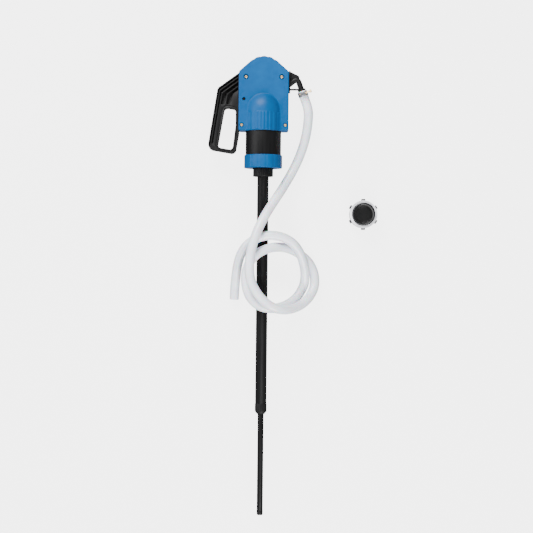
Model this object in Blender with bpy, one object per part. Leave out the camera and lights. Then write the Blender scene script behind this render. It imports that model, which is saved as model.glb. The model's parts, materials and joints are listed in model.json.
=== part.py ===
"""Lever-action barrel pump, lying on its back beside the drum adapter it is used with.

Metres, +Z up. The pump axis runs along Y at PUMP_AXIS_HEIGHT, with the head towards +Y,
the suction tube towards -Y and the lever on the -X side. The origin is the middle of the
flat pad that the rear shell rests on.
"""

import math

import bmesh
import bpy
from mathutils import Matrix, Vector

for old in list(bpy.data.objects):
    bpy.data.objects.remove(old, do_unlink=True)

# ---- Driving dimensions -------------------------------------------------------------

GAP = 0.0003  # between pieces that touch
SLACK = 0.0004  # round a barrel part inside another

SIDES = 32  # facets round the barrel
TUBE_SIDES = 20  # facets round tubes, rods and bushes
SCREW_SIDES = 12  # facets round screws and pins
POCKET_SIDES = 16  # facets round screw pockets and the padlock hole

# Housing, two shells split on the plane through the pump axis
HOUSING_HALF_WIDTH = 0.0647
HOUSING_HALF_DEPTH = 0.028
HOUSING_BOTTOM = -0.038
SHOULDER_Y = 0.115
CROWN_RADIUS = 0.0515
CROWN_Y = 0.1035
CROWN_LOBES = 4
LOBE_DEPTH = 0.0016
SHELL_WALL = 0.003
BULGE_WALL = 0.0027
BAND_PROUD = 0.0012  # the grip band stands out of the bulge by this
BAND_TOP = 0.009
PAD_HALF_WIDTH = 0.020
PAD_HALF_LENGTH = 0.030

# Barrel
BORE_RADIUS = 0.0425
CYLINDER_WALL = 0.0036
CYLINDER_TOP = 0.014
CYLINDER_BOTTOM = -0.127
DOME_Y = CYLINDER_TOP + 0.003
DOME_WALL = 0.0041
DOME_FLAT = 0.846  # height of the dome's flat top, as a share of the dome's radius

# Lever and crank
PIVOT_X = -0.046
PIVOT_Y = 0.101
LEVER_HALF_DEPTH = 0.015
LEVER_WEB_HALF = 0.003
HUB_RADIUS = 0.020
HUB_HALF_DEPTH = 0.0201
SLEEVE_RADIUS = 0.007
FORK_ANGLE = math.radians(28)  # above level at rest, and as far below it at full stroke
FORK_END = 0.011  # beyond the slot's far end
FORK_HALF_WIDTH = 0.0100
FORK_INNER = 0.008
FORK_OUTER = 0.013
STROKE_PER_RADIAN = 0.049

# Piston and rod
ROD_RADIUS = 0.005
PIN_RADIUS = 0.004
PISTON_TOP = -0.008
PISTON_HEIGHT = 0.018
VALVE_THICKNESS = 0.0025
VALVE_LIFT = 0.004
EYE_HALF_DEPTH = 0.007
EYE_RADIUS = 0.008

# Base, union and suction tube
BASE_FLANGE = 0.0037
NECK_RADIUS = 0.0225
NECK_LENGTH = 0.016
PORT_RADIUS = 0.0125
COLLAR_REACH = 0.0272  # up over the foot of the cylinder
COLLAR_LIP = 0.0022
COLLAR_WALL = 0.003
LIP_RADIUS = 0.030  # hole in the collar's lip, round the neck
UNION_RADIUS = 0.0262
UNION_LENGTH = 0.0215
TUBE_RADIUS = 0.0148
TUBE_BORE = 0.0123
TUBE_SHOULDER = -0.7437
NUT_RADIUS = 0.0155
NUT_LENGTH = 0.028
LOWER_TUBE_RADIUS = 0.008
LOWER_TUBE_BORE = 0.006
LOWER_TUBE_INSIDE = 0.0237  # what stays in the upper tube when it is pulled out
LOWER_TUBE_SHOWN = 0.278
FOOT_LENGTH = 0.0123

# Spout: a duct up to a tight elbow, then down to the hose barb
DUCT_RADIUS = 0.00725
DUCT_BORE = 0.00475
ELBOW_RADIUS = 0.008
WEB_HALF = 0.0023
FLANGE_RADIUS = 0.0103
BARB_RADIUS = 0.0093
BARB_LENGTH = 0.0265
SPOUT_POINT = Vector((0.0993, 0.0673, 0.0))  # middle of the flange, where the hose starts
SPOUT_DIRECTION = Vector((0.342, -0.940, 0.0)).normalized()

# Fasteners
SCREW_RADIUS = 0.0025
SCREW_HEAD_RADIUS = 0.0045
SCREW_HEAD_HEIGHT = 0.0026
SCREW_SEAT = 0.024
NUT_HEIGHT = 0.0036
UPPER_SCREW = (0.046, PIVOT_Y)
LOWER_SCREW = (0.0563, -0.0236)
UPPER_POCKET_RADIUS = 0.0065
LOWER_POCKET_RADIUS = 0.0052
PADLOCK_HOLE = (-0.0514, 0.0435)
PADLOCK_RADIUS = 0.0043

# Hose and its clamp
HOSE_RADIUS = 0.012
HOSE_STEP = 0.026  # between the points of the hose's tube
CUFF_LENGTH = 0.0267
CLAMP_START = 0.002
CLAMP_WIDTH = 0.012
BAND_THICKNESS = 0.0008
CLAMP_SCREW_RADIUS = 0.0024

# Drum adapter, standing on its wide end
ADAPTER_X = 0.2636
ADAPTER_Y = -0.2496
THREAD_RADIUS = 0.0298
ADAPTER_WALL = 0.0043
SOCKET_WALL = 0.0013
SOCKET_DEPTH = 0.020
SKIRT_HEIGHT = 0.026
ADAPTER_HEIGHT = 0.052
LUGS = 6
LUG_REACH = 0.0043
LUG_WIDTH = 0.0093
GASKET_WIDTH = 0.0066
GASKET_THICKNESS = 0.003

# The hose's route, from the end of its cuff: down to the surface, over the suction tube
# and round it twice, with the cut end lying on the surface. World positions.
HOSE_ROUTE = [
    (0.1164, 0.0115, 0.0480),
    (0.1150, -0.0205, 0.0350),
    (0.1100, -0.0515, 0.0260),
    (0.1015, -0.0820, 0.0195),
    (0.0900, -0.1120, 0.0180),
    (0.0760, -0.1410, 0.0230),
    (0.0610, -0.1680, 0.0335),
    (0.0460, -0.1935, 0.0470),
    (0.0305, -0.2180, 0.0615),
    (0.0150, -0.2430, 0.0750),
    (0.0005, -0.2690, 0.0875),
    (-0.0125, -0.2970, 0.0985),
    (-0.0225, -0.3265, 0.1055),
    (-0.0300, -0.3580, 0.1075),
    (-0.0325, -0.3905, 0.1075),
    (-0.0290, -0.4225, 0.1070),
    (-0.0155, -0.4520, 0.1065),
    (0.0050, -0.4770, 0.1065),
    (0.0315, -0.4945, 0.1020),
    (0.0595, -0.4995, 0.0865),
    (0.0840, -0.4955, 0.0660),
    (0.1070, -0.4840, 0.0465),
    (0.1260, -0.4645, 0.0285),
    (0.1375, -0.4380, 0.0155),
    (0.1360, -0.4060, 0.0127),
    (0.1220, -0.3770, 0.0135),
    (0.0985, -0.3560, 0.0205),
    (0.0735, -0.3435, 0.0370),
    (0.0490, -0.3385, 0.0575),
    (0.0220, -0.3405, 0.0745),
    (-0.0070, -0.3525, 0.0810),
    (-0.0300, -0.3750, 0.0805),
    (-0.0410, -0.4055, 0.0800),
    (-0.0405, -0.4380, 0.0795),
    (-0.0300, -0.4680, 0.0790),
    (-0.0065, -0.4900, 0.0785),
    (0.0235, -0.4970, 0.0710),
    (0.0495, -0.4935, 0.0525),
    (0.0735, -0.4830, 0.0330),
    (0.0945, -0.4645, 0.0175),
    (0.1095, -0.4360, 0.0145),
    (0.1125, -0.4065, 0.0265),
    (0.1075, -0.3790, 0.0425),
    (0.0970, -0.3520, 0.0570),
    (0.0785, -0.3280, 0.0690),
    (0.0515, -0.3130, 0.0765),
    (0.0195, -0.3085, 0.0790),
    (-0.0120, -0.3155, 0.0775),
    (-0.0380, -0.3325, 0.0700),
    (-0.0550, -0.3570, 0.0580),
    (-0.0635, -0.3845, 0.0430),
    (-0.0680, -0.4135, 0.0285),
    (-0.0710, -0.4435, 0.0170),
    (-0.0725, -0.4755, 0.0125),
]

# ---- Sizes that follow from them ----------------------------------------------------

CYLINDER_RADIUS = BORE_RADIUS + CYLINDER_WALL
COLLAR_BORE = CYLINDER_RADIUS + SLACK
COLLAR_RADIUS = COLLAR_BORE + COLLAR_WALL
PUMP_AXIS_HEIGHT = COLLAR_RADIUS  # the collar rests on the surface
HEAD_TOP = DOME_Y + DOME_FLAT * CYLINDER_RADIUS
BULGE_BORE = CYLINDER_RADIUS + SLACK
BULGE_RADIUS = BULGE_BORE + BULGE_WALL
PLUG_RADIUS = BORE_RADIUS - SLACK
SEAL_RADIUS = BORE_RADIUS - GAP
GROOVE_RADIUS = PLUG_RADIUS - 0.0021
SKIRT_INNER = PLUG_RADIUS - 0.0036  # inside of the skirts that stand in the bore
BASE_TOP = CYLINDER_BOTTOM - GAP
BASE_BOTTOM = BASE_TOP - BASE_FLANGE
COLLAR_TOP = CYLINDER_BOTTOM + COLLAR_REACH
COLLAR_BOTTOM = BASE_BOTTOM - GAP - COLLAR_LIP
NECK_BOTTOM = BASE_BOTTOM - NECK_LENGTH
PIN_Y = PIVOT_Y + STROKE_PER_RADIAN * FORK_ANGLE  # crosshead pin at rest
SLOT_START = -PIVOT_X  # the pin is nearest to the pivot at mid stroke
SLOT_END = -PIVOT_X / math.cos(FORK_ANGLE) + SLACK
SEAT_TOP = CYLINDER_BOTTOM + 0.015
LOWER_TUBE_TOP = TUBE_SHOULDER + LOWER_TUBE_INSIDE
LOWER_TUBE_END = TUBE_SHOULDER - LOWER_TUBE_SHOWN
GASKET_RADIUS = THREAD_RADIUS + GASKET_WIDTH
SKIRT_RADIUS = GASKET_RADIUS - 0.0005
LUG_RADIUS = SKIRT_RADIUS + LUG_REACH
SOCKET_RADIUS = THREAD_RADIUS - SOCKET_WALL
ADAPTER_BORE = THREAD_RADIUS - ADAPTER_WALL

# ---- Materials ----------------------------------------------------------------------


def finish(name, colour, roughness, metallic=0.0):
    """A plain surface: linear colour, roughness and metallic value."""
    material = bpy.data.materials.new(name)
    material.use_nodes = True
    shader = material.node_tree.nodes["Principled BSDF"]
    shader.inputs["Base Color"].default_value = (*colour, 1.0)
    shader.inputs["Roughness"].default_value = roughness
    shader.inputs["Metallic"].default_value = metallic
    return material


BLUE = finish("blue_plastic", (0.06, 0.25, 0.53), 0.45)
BLACK = finish("black_plastic", (0.012, 0.012, 0.013), 0.45)
TUBE_BLACK = finish("black_tube", (0.014, 0.014, 0.015), 0.40)
STEEL = finish("steel", (0.60, 0.60, 0.61), 0.30, 1.0)
BRASS = finish("brass", (0.62, 0.45, 0.22), 0.35, 1.0)
RUBBER = finish("rubber", (0.02, 0.02, 0.02), 0.80)
GASKET_WHITE = finish("white_gasket", (0.80, 0.80, 0.84), 0.60)
ACETAL = finish("acetal", (0.75, 0.74, 0.70), 0.45)
HOSE_MILK = finish("milky_hose", (0.80, 0.82, 0.87), 0.35)

# ---- Shapes -------------------------------------------------------------------------

pump = bpy.data.objects.new("pump_axis", None)
pump.location = (0, 0, PUMP_AXIS_HEIGHT)
bpy.context.scene.collection.objects.link(pump)

ALONG_Y = Matrix.Rotation(math.radians(-90), 4, "X")
ALONG_Z = Matrix.Identity(4)


def along(direction, start=(0, 0, 0)):
    """The matrix that lays a turned shape's own Z axis along a direction, from start."""
    turn = Vector((0, 0, 1)).rotation_difference(Vector(direction))
    return Matrix.Translation(Vector(start)) @ turn.to_matrix().to_4x4()


def node(name, shape, material, pivot=(0, 0, 0), parent=pump):
    """Makes an object of a bmesh, with its origin at pivot, in its parent's space."""
    bmesh.ops.remove_doubles(shape, verts=shape.verts, dist=1e-6)
    bmesh.ops.recalc_face_normals(shape, faces=shape.faces)
    shape.transform(Matrix.Translation(-Vector(pivot)))
    mesh = bpy.data.meshes.new(name)
    shape.to_mesh(mesh)
    shape.free()
    mesh.shade_smooth()
    mesh.set_sharp_from_angle(angle=math.radians(35))
    mesh.materials.append(material)
    made = bpy.data.objects.new(name, mesh)
    made.parent = parent
    made.location = pivot
    bpy.context.scene.collection.objects.link(made)
    return made


def turned(profile, place=ALONG_Y, sides=SIDES):
    """A profile of (radius, height) points, turned about its axis. One that starts and ends
    on the axis makes a solid shape, and any other is closed into a ring."""
    shape = bmesh.new()
    points = [shape.verts.new((radius, 0, height)) for radius, height in profile]
    edges = [shape.edges.new(pair) for pair in zip(points, points[1:])]
    if profile[0][0] > 0:
        edges.append(shape.edges.new((points[-1], points[0])))
    bmesh.ops.spin(
        shape, geom=points + edges, cent=(0, 0, 0), axis=(0, 0, 1), angle=math.tau, steps=sides
    )
    bmesh.ops.remove_doubles(shape, verts=shape.verts, dist=1e-6)
    shape.transform(place)
    return shape


def ring(inner, outer, low, high):
    """The profile of a plain ring."""
    return [(inner, low), (outer, low), (outer, high), (inner, high)]


def rod(radius, low, high):
    """The profile of a plain rod."""
    return [(0, low), (radius, low), (radius, high), (0, high)]


def plate(outline, low, high, place=ALONG_Z):
    """An outline of (x, y) points, raised from low to high."""
    shape = bmesh.new()
    floor = [shape.verts.new((x, y, low)) for x, y in outline]
    roof = [shape.verts.new((x, y, high)) for x, y in outline]
    shape.faces.new(floor)
    shape.faces.new(roof)
    for here in range(len(outline)):
        after = (here + 1) % len(outline)
        shape.faces.new((floor[here], floor[after], roof[after], roof[here]))
    shape.transform(place)
    return shape


def block(low, high):
    """A box between two corners."""
    outline = [(low[0], low[1]), (high[0], low[1]), (high[0], high[1]), (low[0], high[1])]
    return plate(outline, low[2], high[2])


def rounded(corners, steps=3):
    """A polygon of (x, y, radius) corners, as (x, y) points with an arc at each corner."""
    points = []
    for here, (x, y, radius) in enumerate(corners):
        corner = Vector((x, y))
        before = (Vector(corners[here - 1][:2]) - corner).normalized()
        after = (Vector(corners[(here + 1) % len(corners)][:2]) - corner).normalized()
        half = before.angle(after) / 2
        if radius == 0 or half > math.radians(89.5):
            points.append((x, y))
            continue
        middle = corner + (before + after).normalized() * radius / math.sin(half)
        start = corner + before * radius / math.tan(half) - middle
        end = corner + after * radius / math.tan(half) - middle
        sweep = start.angle_signed(end)
        first = math.atan2(start.y, start.x)
        for step in range(steps + 1):
            angle = first - sweep * step / steps
            spoke = Vector((math.cos(angle), math.sin(angle)))
            points.append(tuple(middle + spoke * radius))
    return points


def swept(line, radius, sides=TUBE_SIDES):
    """A round bar along a line that lies in the XY plane, square at both ends."""
    shape = bmesh.new()
    rings = []
    for here, point in enumerate(line):
        before = (point - line[here - 1]).normalized() if here else None
        after = (line[here + 1] - point).normalized() if here + 1 < len(line) else None
        heading = ((before or after) + (after or before)).normalized()
        side = Vector((-heading.y, heading.x, 0))
        stretch = 1 / max(0.7, heading.dot(before or after))
        rings.append([
            shape.verts.new(
                point
                + side * radius * stretch * math.cos(math.tau * turn / sides)
                + Vector((0, 0, radius * math.sin(math.tau * turn / sides)))
            )
            for turn in range(sides)
        ])
    shape.faces.new(rings[0])
    shape.faces.new(rings[-1])
    for low, high in zip(rings, rings[1:]):
        for turn in range(sides):
            after = (turn + 1) % sides
            shape.faces.new((low[turn], low[after], high[after], high[turn]))
    return shape


def helper(name, shape, pivot=(0, 0, 0), parent=pump):
    """A shape that only cuts or joins others."""
    made = node(name, shape, BLACK, pivot, parent)
    made.hide_render = True
    made.display_type = "WIRE"
    return made


def combine(target, other, operation):
    """Adds one Boolean to a target."""
    step = target.modifiers.new(other.name, "BOOLEAN")
    step.operation = operation
    step.object = other
    step.solver = "EXACT"


def join(target, name, shape):
    """Unites a shape with a target."""
    combine(target, helper(name, shape), "UNION")


def cut(target, name, shape):
    """Takes a shape out of a target."""
    combine(target, helper(name, shape), "DIFFERENCE")


def sphere_arc(radius, from_radius, to_radius, steps):
    """Profile points on the dome's sphere, between two distances from the pump axis."""
    start = math.acos(from_radius / radius)
    end = math.acos(to_radius / radius)
    angles = [start + (end - start) * step / steps for step in range(steps + 1)]
    return [(radius * math.cos(a), DOME_Y + radius * math.sin(a)) for a in angles]


# ---- Housing shells -----------------------------------------------------------------

shoulder_rise = SHOULDER_Y - CROWN_Y
SHOULDER_ANGLE = math.atan2(shoulder_rise, HOUSING_HALF_WIDTH) + math.acos(
    CROWN_RADIUS / math.hypot(HOUSING_HALF_WIDTH, shoulder_rise)
)


def housing_outline(inset, lobe_depth):
    """The housing's front outline, pulled in: flat sides, sloping shoulders, lobed crown."""
    half = HOUSING_HALF_WIDTH - inset
    radius = CROWN_RADIUS - inset
    rise = (radius - half * math.cos(SHOULDER_ANGLE)) / math.sin(SHOULDER_ANGLE)
    bottom = HOUSING_BOTTOM + inset
    outline = [(-half, bottom), (half, bottom), (half, CROWN_Y + rise)]
    steps = CROWN_LOBES * 5
    for step in range(steps + 1):
        angle = SHOULDER_ANGLE + (math.pi - 2 * SHOULDER_ANGLE) * step / steps
        dip = lobe_depth * (1 - abs(math.cos(math.pi * CROWN_LOBES * step / steps)))
        reach = radius - dip
        outline.append((reach * math.cos(angle), CROWN_Y + reach * math.sin(angle)))
    outline.append((-half, CROWN_Y + rise))
    return outline


def disc(x, y, radius, low, high, sides=TUBE_SIDES):
    """A round post that stands along Z."""
    return turned(rod(radius, low, high), Matrix.Translation((x, y, 0)), sides)


def bulge():
    """The outside of the round housing over the barrel: grip band, then dome."""
    band = BULGE_RADIUS + BAND_PROUD
    dome = sphere_arc(BULGE_RADIUS, BULGE_RADIUS * 0.9999, 0.0001, 7)[:-1]
    profile = [(0, HOUSING_BOTTOM), (band, HOUSING_BOTTOM), (band, BAND_TOP)]
    profile += [(BULGE_RADIUS, BAND_TOP + BAND_PROUD)] + dome
    return turned(profile + [(0, DOME_Y + BULGE_RADIUS)])


def barrel_room():
    """The room inside the bulge for the cylinder and the head's dome."""
    dome = sphere_arc(BULGE_BORE, BULGE_BORE * 0.9999, 0.0001, 7)[:-1]
    profile = [(0, HOUSING_BOTTOM - 0.02), (BULGE_BORE, HOUSING_BOTTOM - 0.02)] + dome
    return turned(profile + [(0, DOME_Y + BULGE_BORE)])


def screw_places():
    """The four screws: (name, x, y, pocket radius), the lever's pivot first."""
    return [
        ("1", -UPPER_SCREW[0], UPPER_SCREW[1], UPPER_POCKET_RADIUS),
        ("2", UPPER_SCREW[0], UPPER_SCREW[1], UPPER_POCKET_RADIUS),
        ("3", -LOWER_SCREW[0], LOWER_SCREW[1], LOWER_POCKET_RADIUS),
        ("4", LOWER_SCREW[0], LOWER_SCREW[1], LOWER_POCKET_RADIUS),
    ]


def spread(side, near, far):
    """The two heights on one side of the split plane, lowest first."""
    return sorted((side * near, side * far))


def shell(name, side):
    """One half of the housing: side 1 is the front, -1 the rear."""
    inner_face = HOUSING_HALF_DEPTH - SHELL_WALL
    post_end = inner_face + SHELL_WALL / 6  # a post runs this far into the wall
    past_face = HOUSING_HALF_DEPTH + 0.004
    past_split = -0.001
    face = plate(housing_outline(0, LOBE_DEPTH), *spread(side, GAP / 2, HOUSING_HALF_DEPTH))
    made = node(name, face, BLUE)
    half = helper(name + "_half_bulge", bulge())
    deepest = PUMP_AXIS_HEIGHT if side < 0 else 2 * PUMP_AXIS_HEIGHT
    low, high = spread(side, GAP / 2, deepest)
    room = 2 * HOUSING_HALF_WIDTH
    half_space = block((-room, -room, low), (room, room, high))
    combine(half, helper(name + "_half_space", half_space), "INTERSECT")
    combine(made, half, "UNION")
    if side < 0:
        pad = block(
            (-PAD_HALF_WIDTH, -PAD_HALF_LENGTH, -PUMP_AXIS_HEIGHT),
            (PAD_HALF_WIDTH, PAD_HALF_LENGTH, -HOUSING_HALF_DEPTH),
        )
        join(made, name + "_pad", pad)
    cavity = plate(housing_outline(SHELL_WALL, 0), *spread(side, past_split, inner_face))
    cut(made, name + "_cavity", cavity)
    cut(made, name + "_barrel_room", barrel_room())
    posts = [
        (PIVOT_X, PIVOT_Y, 0.012, HUB_HALF_DEPTH + GAP),
        (UPPER_SCREW[0], UPPER_SCREW[1], 0.007, WEB_HALF + GAP),
        (-LOWER_SCREW[0], LOWER_SCREW[1], 0.006, GAP),
        (LOWER_SCREW[0], LOWER_SCREW[1], 0.006, GAP),
    ]
    for index, (x, y, radius, start) in enumerate(posts):
        join(made, f"{name}_post_{index}", disc(x, y, radius, *spread(side, start, post_end)))
    for label, x, y, pocket in screw_places():
        through = spread(side, past_split, past_face)
        hole = disc(x, y, SCREW_RADIUS + GAP, *through, SCREW_SIDES)
        cut(made, f"{name}_hole_{label}", hole)
        recess = disc(x, y, pocket, *spread(side, SCREW_SEAT, past_face), POCKET_SIDES)
        cut(made, f"{name}_pocket_{label}", recess)
    padlock = disc(*PADLOCK_HOLE, PADLOCK_RADIUS, *spread(side, 0.020, past_face), POCKET_SIDES)
    cut(made, name + "_padlock_hole", padlock)
    slot_half = LEVER_HALF_DEPTH + 0.0022
    slot_edge = -(HOUSING_HALF_WIDTH - SHELL_WALL - 0.0005)
    outside = -(HOUSING_HALF_WIDTH + 0.0153)
    slot = [(outside, -0.05), (slot_edge, -0.05), (slot_edge, 0.06)]
    slot += [(-0.05, 0.06), (-0.05, 0.14), (outside, 0.14)]
    cut(made, name + "_lever_slot", plate(slot, -slot_half, slot_half))
    duct_half = DUCT_RADIUS + 0.00075
    spout_slot = block((0.060, 0.066, -duct_half), (0.070, 0.112, duct_half))
    cut(made, name + "_spout_slot", spout_slot)
    return made


shell("front_shell", 1)
shell("rear_shell", -1)

# ---- Screws and nuts through the housing --------------------------------------------

for label, x, y, _ in screw_places():
    stand = Matrix.Translation((x, y, 0))
    seat = SCREW_SEAT + GAP
    head = seat + SCREW_HEAD_HEIGHT
    screw_end = -seat - NUT_HEIGHT + 0.0004
    profile = [
        (0, screw_end),
        (SCREW_RADIUS, screw_end),
        (SCREW_RADIUS, seat),
        (SCREW_HEAD_RADIUS, seat),
        (SCREW_HEAD_RADIUS, head - 0.0008),
        (SCREW_HEAD_RADIUS * 0.7, head),
        (0, head),
    ]
    node("shell_screw_" + label, turned(profile, stand, SCREW_SIDES), BRASS)
    nut = ring(SCREW_RADIUS + GAP, SCREW_HEAD_RADIUS, -seat - NUT_HEIGHT, -seat)
    node("shell_nut_" + label, turned(nut, stand, SCREW_SIDES), STEEL)

sleeve = ring(SCREW_RADIUS + SLACK, SLEEVE_RADIUS, -HUB_HALF_DEPTH, HUB_HALF_DEPTH)
stand = Matrix.Translation((PIVOT_X, PIVOT_Y, 0))
node("pivot_sleeve", turned(sleeve, stand, TUBE_SIDES), STEEL)

# ---- Cylinder, head and seals -------------------------------------------------------

node("cylinder", turned(ring(BORE_RADIUS, CYLINDER_RADIUS, CYLINDER_BOTTOM, CYLINDER_TOP)), BLACK)

SEAL_HEIGHT = 0.003
HEAD_SEAL_Y = 0.007
GLAND_POCKET = 0.009
POCKET_FLOOR = HEAD_TOP - 0.008
SLAB_UNDER = HEAD_TOP - 0.005


def grooved(radius, low, high):
    """Profile points for a seal groove with its open side outwards."""
    return [(radius, low), (GROOVE_RADIUS, low), (GROOVE_RADIUS, high), (radius, high)]


def outlet_head():
    """Dome, gland boss, duct, elbow, hose barb and their web, moulded in one."""
    inner_dome = CYLINDER_RADIUS - DOME_WALL
    slab_outer = math.sqrt(CYLINDER_RADIUS**2 - (HEAD_TOP - DOME_Y) ** 2)
    slab_inner = math.sqrt(inner_dome**2 - (SLAB_UNDER - DOME_Y) ** 2)
    bore = ROD_RADIUS + GAP
    skirt_low = CYLINDER_TOP - 0.010
    profile = [(SKIRT_INNER, skirt_low), (PLUG_RADIUS, skirt_low)]
    profile += grooved(PLUG_RADIUS, HEAD_SEAL_Y - GAP, HEAD_SEAL_Y + SEAL_HEIGHT + GAP)
    profile += [(PLUG_RADIUS, CYLINDER_TOP + GAP), (CYLINDER_RADIUS, CYLINDER_TOP + GAP)]
    profile += sphere_arc(CYLINDER_RADIUS, CYLINDER_RADIUS, slab_outer, 5)
    profile += [(GLAND_POCKET, HEAD_TOP), (GLAND_POCKET, POCKET_FLOOR), (bore, POCKET_FLOOR)]
    profile += [(bore, SLAB_UNDER - 0.007), (0.014, SLAB_UNDER - 0.007), (0.014, SLAB_UNDER)]
    profile += list(reversed(sphere_arc(inner_dome, inner_dome, slab_inner, 4)))
    profile += [(SKIRT_INNER, CYLINDER_TOP)]
    made = node("outlet_head", turned(profile), BLACK)

    rise = Vector((0.0231, 0.0185, 0)).normalized()
    start = Vector((0.020, 0.0477, 0))
    back = SPOUT_POINT - start
    cross = rise.x * SPOUT_DIRECTION.y - rise.y * SPOUT_DIRECTION.x
    run = (back.x * SPOUT_DIRECTION.y - back.y * SPOUT_DIRECTION.x) / cross
    corner = start + rise * run
    bend = rounded([(*start.xy, 0), (*corner.xy, ELBOW_RADIUS), (*SPOUT_POINT.xy, 0)], 8)
    line = [Vector((*point, 0)) for point in bend]
    join(made, "duct", swept(line, DUCT_RADIUS))

    web = [(0.040, 0.068), (0.0383, 0.098), (0.041, 0.106), (0.046, 0.109), (0.052, 0.1088)]
    web += [(0.061, 0.1113), (0.065, 0.1113), (0.065, 0.119), (0.0939, 0.1035), (0.088, 0.095)]
    web += [(0.070, 0.084)]
    join(made, "spout_web", plate(web, -WEB_HALF, WEB_HALF))
    strip_start = HOUSING_HALF_WIDTH + GAP
    strip = block((strip_start, 0.063, -0.011), (strip_start + 0.0033, 0.119, 0.011))
    join(made, "spout_strip", strip)
    strut = block((strip_start + 0.001, 0.0693, -WEB_HALF), (0.095, 0.0737, WEB_HALF))
    join(made, "spout_strut", strut)

    place = along(SPOUT_DIRECTION, SPOUT_POINT)
    barb = [(0, -0.003), (FLANGE_RADIUS, -0.003), (FLANGE_RADIUS, 0), (BARB_RADIUS, 0)]
    barb += [(BARB_RADIUS, BARB_LENGTH - 0.002), (BARB_RADIUS - 0.0015, BARB_LENGTH)]
    join(made, "barb", turned(barb + [(0, BARB_LENGTH)], place, TUBE_SIDES))

    inlet = start - rise * 0.005
    outlet = SPOUT_POINT + SPOUT_DIRECTION * (BARB_LENGTH + 0.002)
    passage = [inlet, *line[1:-1], outlet]
    cut(made, "duct_bore", swept(passage, DUCT_BORE))
    hole = disc(*UPPER_SCREW, SCREW_RADIUS + GAP, -0.01, 0.01, SCREW_SIDES)
    cut(made, "web_screw_hole", hole)
    return made


outlet_head()
seal_inner = GROOVE_RADIUS + GAP
head_seal = ring(seal_inner, SEAL_RADIUS, HEAD_SEAL_Y, HEAD_SEAL_Y + SEAL_HEIGHT)
node("head_seal", turned(head_seal), RUBBER)
rod_bore = ROD_RADIUS + GAP
rod_seal_top = POCKET_FLOOR + GAP + 0.0047
rod_seal = ring(rod_bore, GLAND_POCKET - GAP, POCKET_FLOOR + GAP, rod_seal_top)
node("rod_seal", turned(rod_seal, ALONG_Y, TUBE_SIDES), RUBBER)
gland = [(rod_bore, rod_seal_top + GAP), (GLAND_POCKET - GAP, rod_seal_top + GAP)]
gland += [(GLAND_POCKET - GAP, HEAD_TOP + GAP), (0.0125, HEAD_TOP + GAP)]
gland += [(0.0125, HEAD_TOP + 0.0035), (rod_bore, HEAD_TOP + 0.0035)]
node("gland_nut", turned(gland, ALONG_Y, TUBE_SIDES), ACETAL)

# ---- Base plug, inlet valve and collar ring -----------------------------------------

SEAT_RADIUS = 0.019
BASE_FLOOR = BASE_TOP + 0.0033
BASE_SKIRT_TOP = CYLINDER_BOTTOM + 0.023
BASE_SEAL_Y = CYLINDER_BOTTOM + 0.0093
base = [(PORT_RADIUS, NECK_BOTTOM), (NECK_RADIUS, NECK_BOTTOM), (NECK_RADIUS, BASE_BOTTOM)]
base += [(CYLINDER_RADIUS, BASE_BOTTOM), (CYLINDER_RADIUS, BASE_TOP), (PLUG_RADIUS, BASE_TOP)]
base += grooved(PLUG_RADIUS, BASE_SEAL_Y - GAP, BASE_SEAL_Y + SEAL_HEIGHT + GAP)
base += [(PLUG_RADIUS, BASE_SKIRT_TOP), (SKIRT_INNER, BASE_SKIRT_TOP)]
base += [(SKIRT_INNER, BASE_FLOOR), (SEAT_RADIUS, BASE_FLOOR), (SEAT_RADIUS, SEAT_TOP)]
base += [(PORT_RADIUS, SEAT_TOP)]
node("base_plug", turned(base), BLACK)
base_seal = ring(seal_inner, SEAL_RADIUS, BASE_SEAL_Y, BASE_SEAL_Y + SEAL_HEIGHT)
node("base_seal", turned(base_seal), RUBBER)

DISC_RADIUS = 0.0165
DISC_THICKNESS = 0.003
STEM_RADIUS = 0.0022
disc_low = SEAT_TOP + GAP
disc_high = disc_low + DISC_THICKNESS
cage_under = disc_high + VALVE_LIFT + 0.0027
cage_top = cage_under + 0.003
valve = [(0, disc_low), (DISC_RADIUS, disc_low), (DISC_RADIUS, disc_high)]
valve += [(STEM_RADIUS, disc_high), (STEM_RADIUS, cage_top + 0.002), (0, cage_top + 0.002)]
node("inlet_valve", turned(valve, ALONG_Y, TUBE_SIDES), RUBBER)

CAGE_HALF = 0.0235
leg = CAGE_HALF - 0.0035
leg_foot = BASE_FLOOR + GAP
cage = [(-CAGE_HALF, leg_foot), (-leg, leg_foot), (-leg, cage_under), (leg, cage_under)]
cage += [(leg, leg_foot), (CAGE_HALF, leg_foot), (CAGE_HALF, cage_top), (-CAGE_HALF, cage_top)]
valve_cage = node("valve_cage", plate(cage, -0.004, 0.004), ACETAL)
stem_hole = rod(STEM_RADIUS + SLACK, cage_under - 0.001, cage_top + 0.001)
cut(valve_cage, "stem_hole", turned(stem_hole, ALONG_Y, SCREW_SIDES))

collar = [(COLLAR_BORE, COLLAR_TOP), (COLLAR_RADIUS - 0.0012, COLLAR_TOP)]
collar += [(COLLAR_RADIUS, COLLAR_TOP - 0.0014), (COLLAR_RADIUS, COLLAR_BOTTOM)]
collar += [(LIP_RADIUS, COLLAR_BOTTOM), (LIP_RADIUS, COLLAR_BOTTOM + COLLAR_LIP)]
collar += [(COLLAR_BORE, COLLAR_BOTTOM + COLLAR_LIP)]
node("collar_ring", turned(collar), BLUE)

# ---- Union nut and suction tube -----------------------------------------------------

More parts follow.
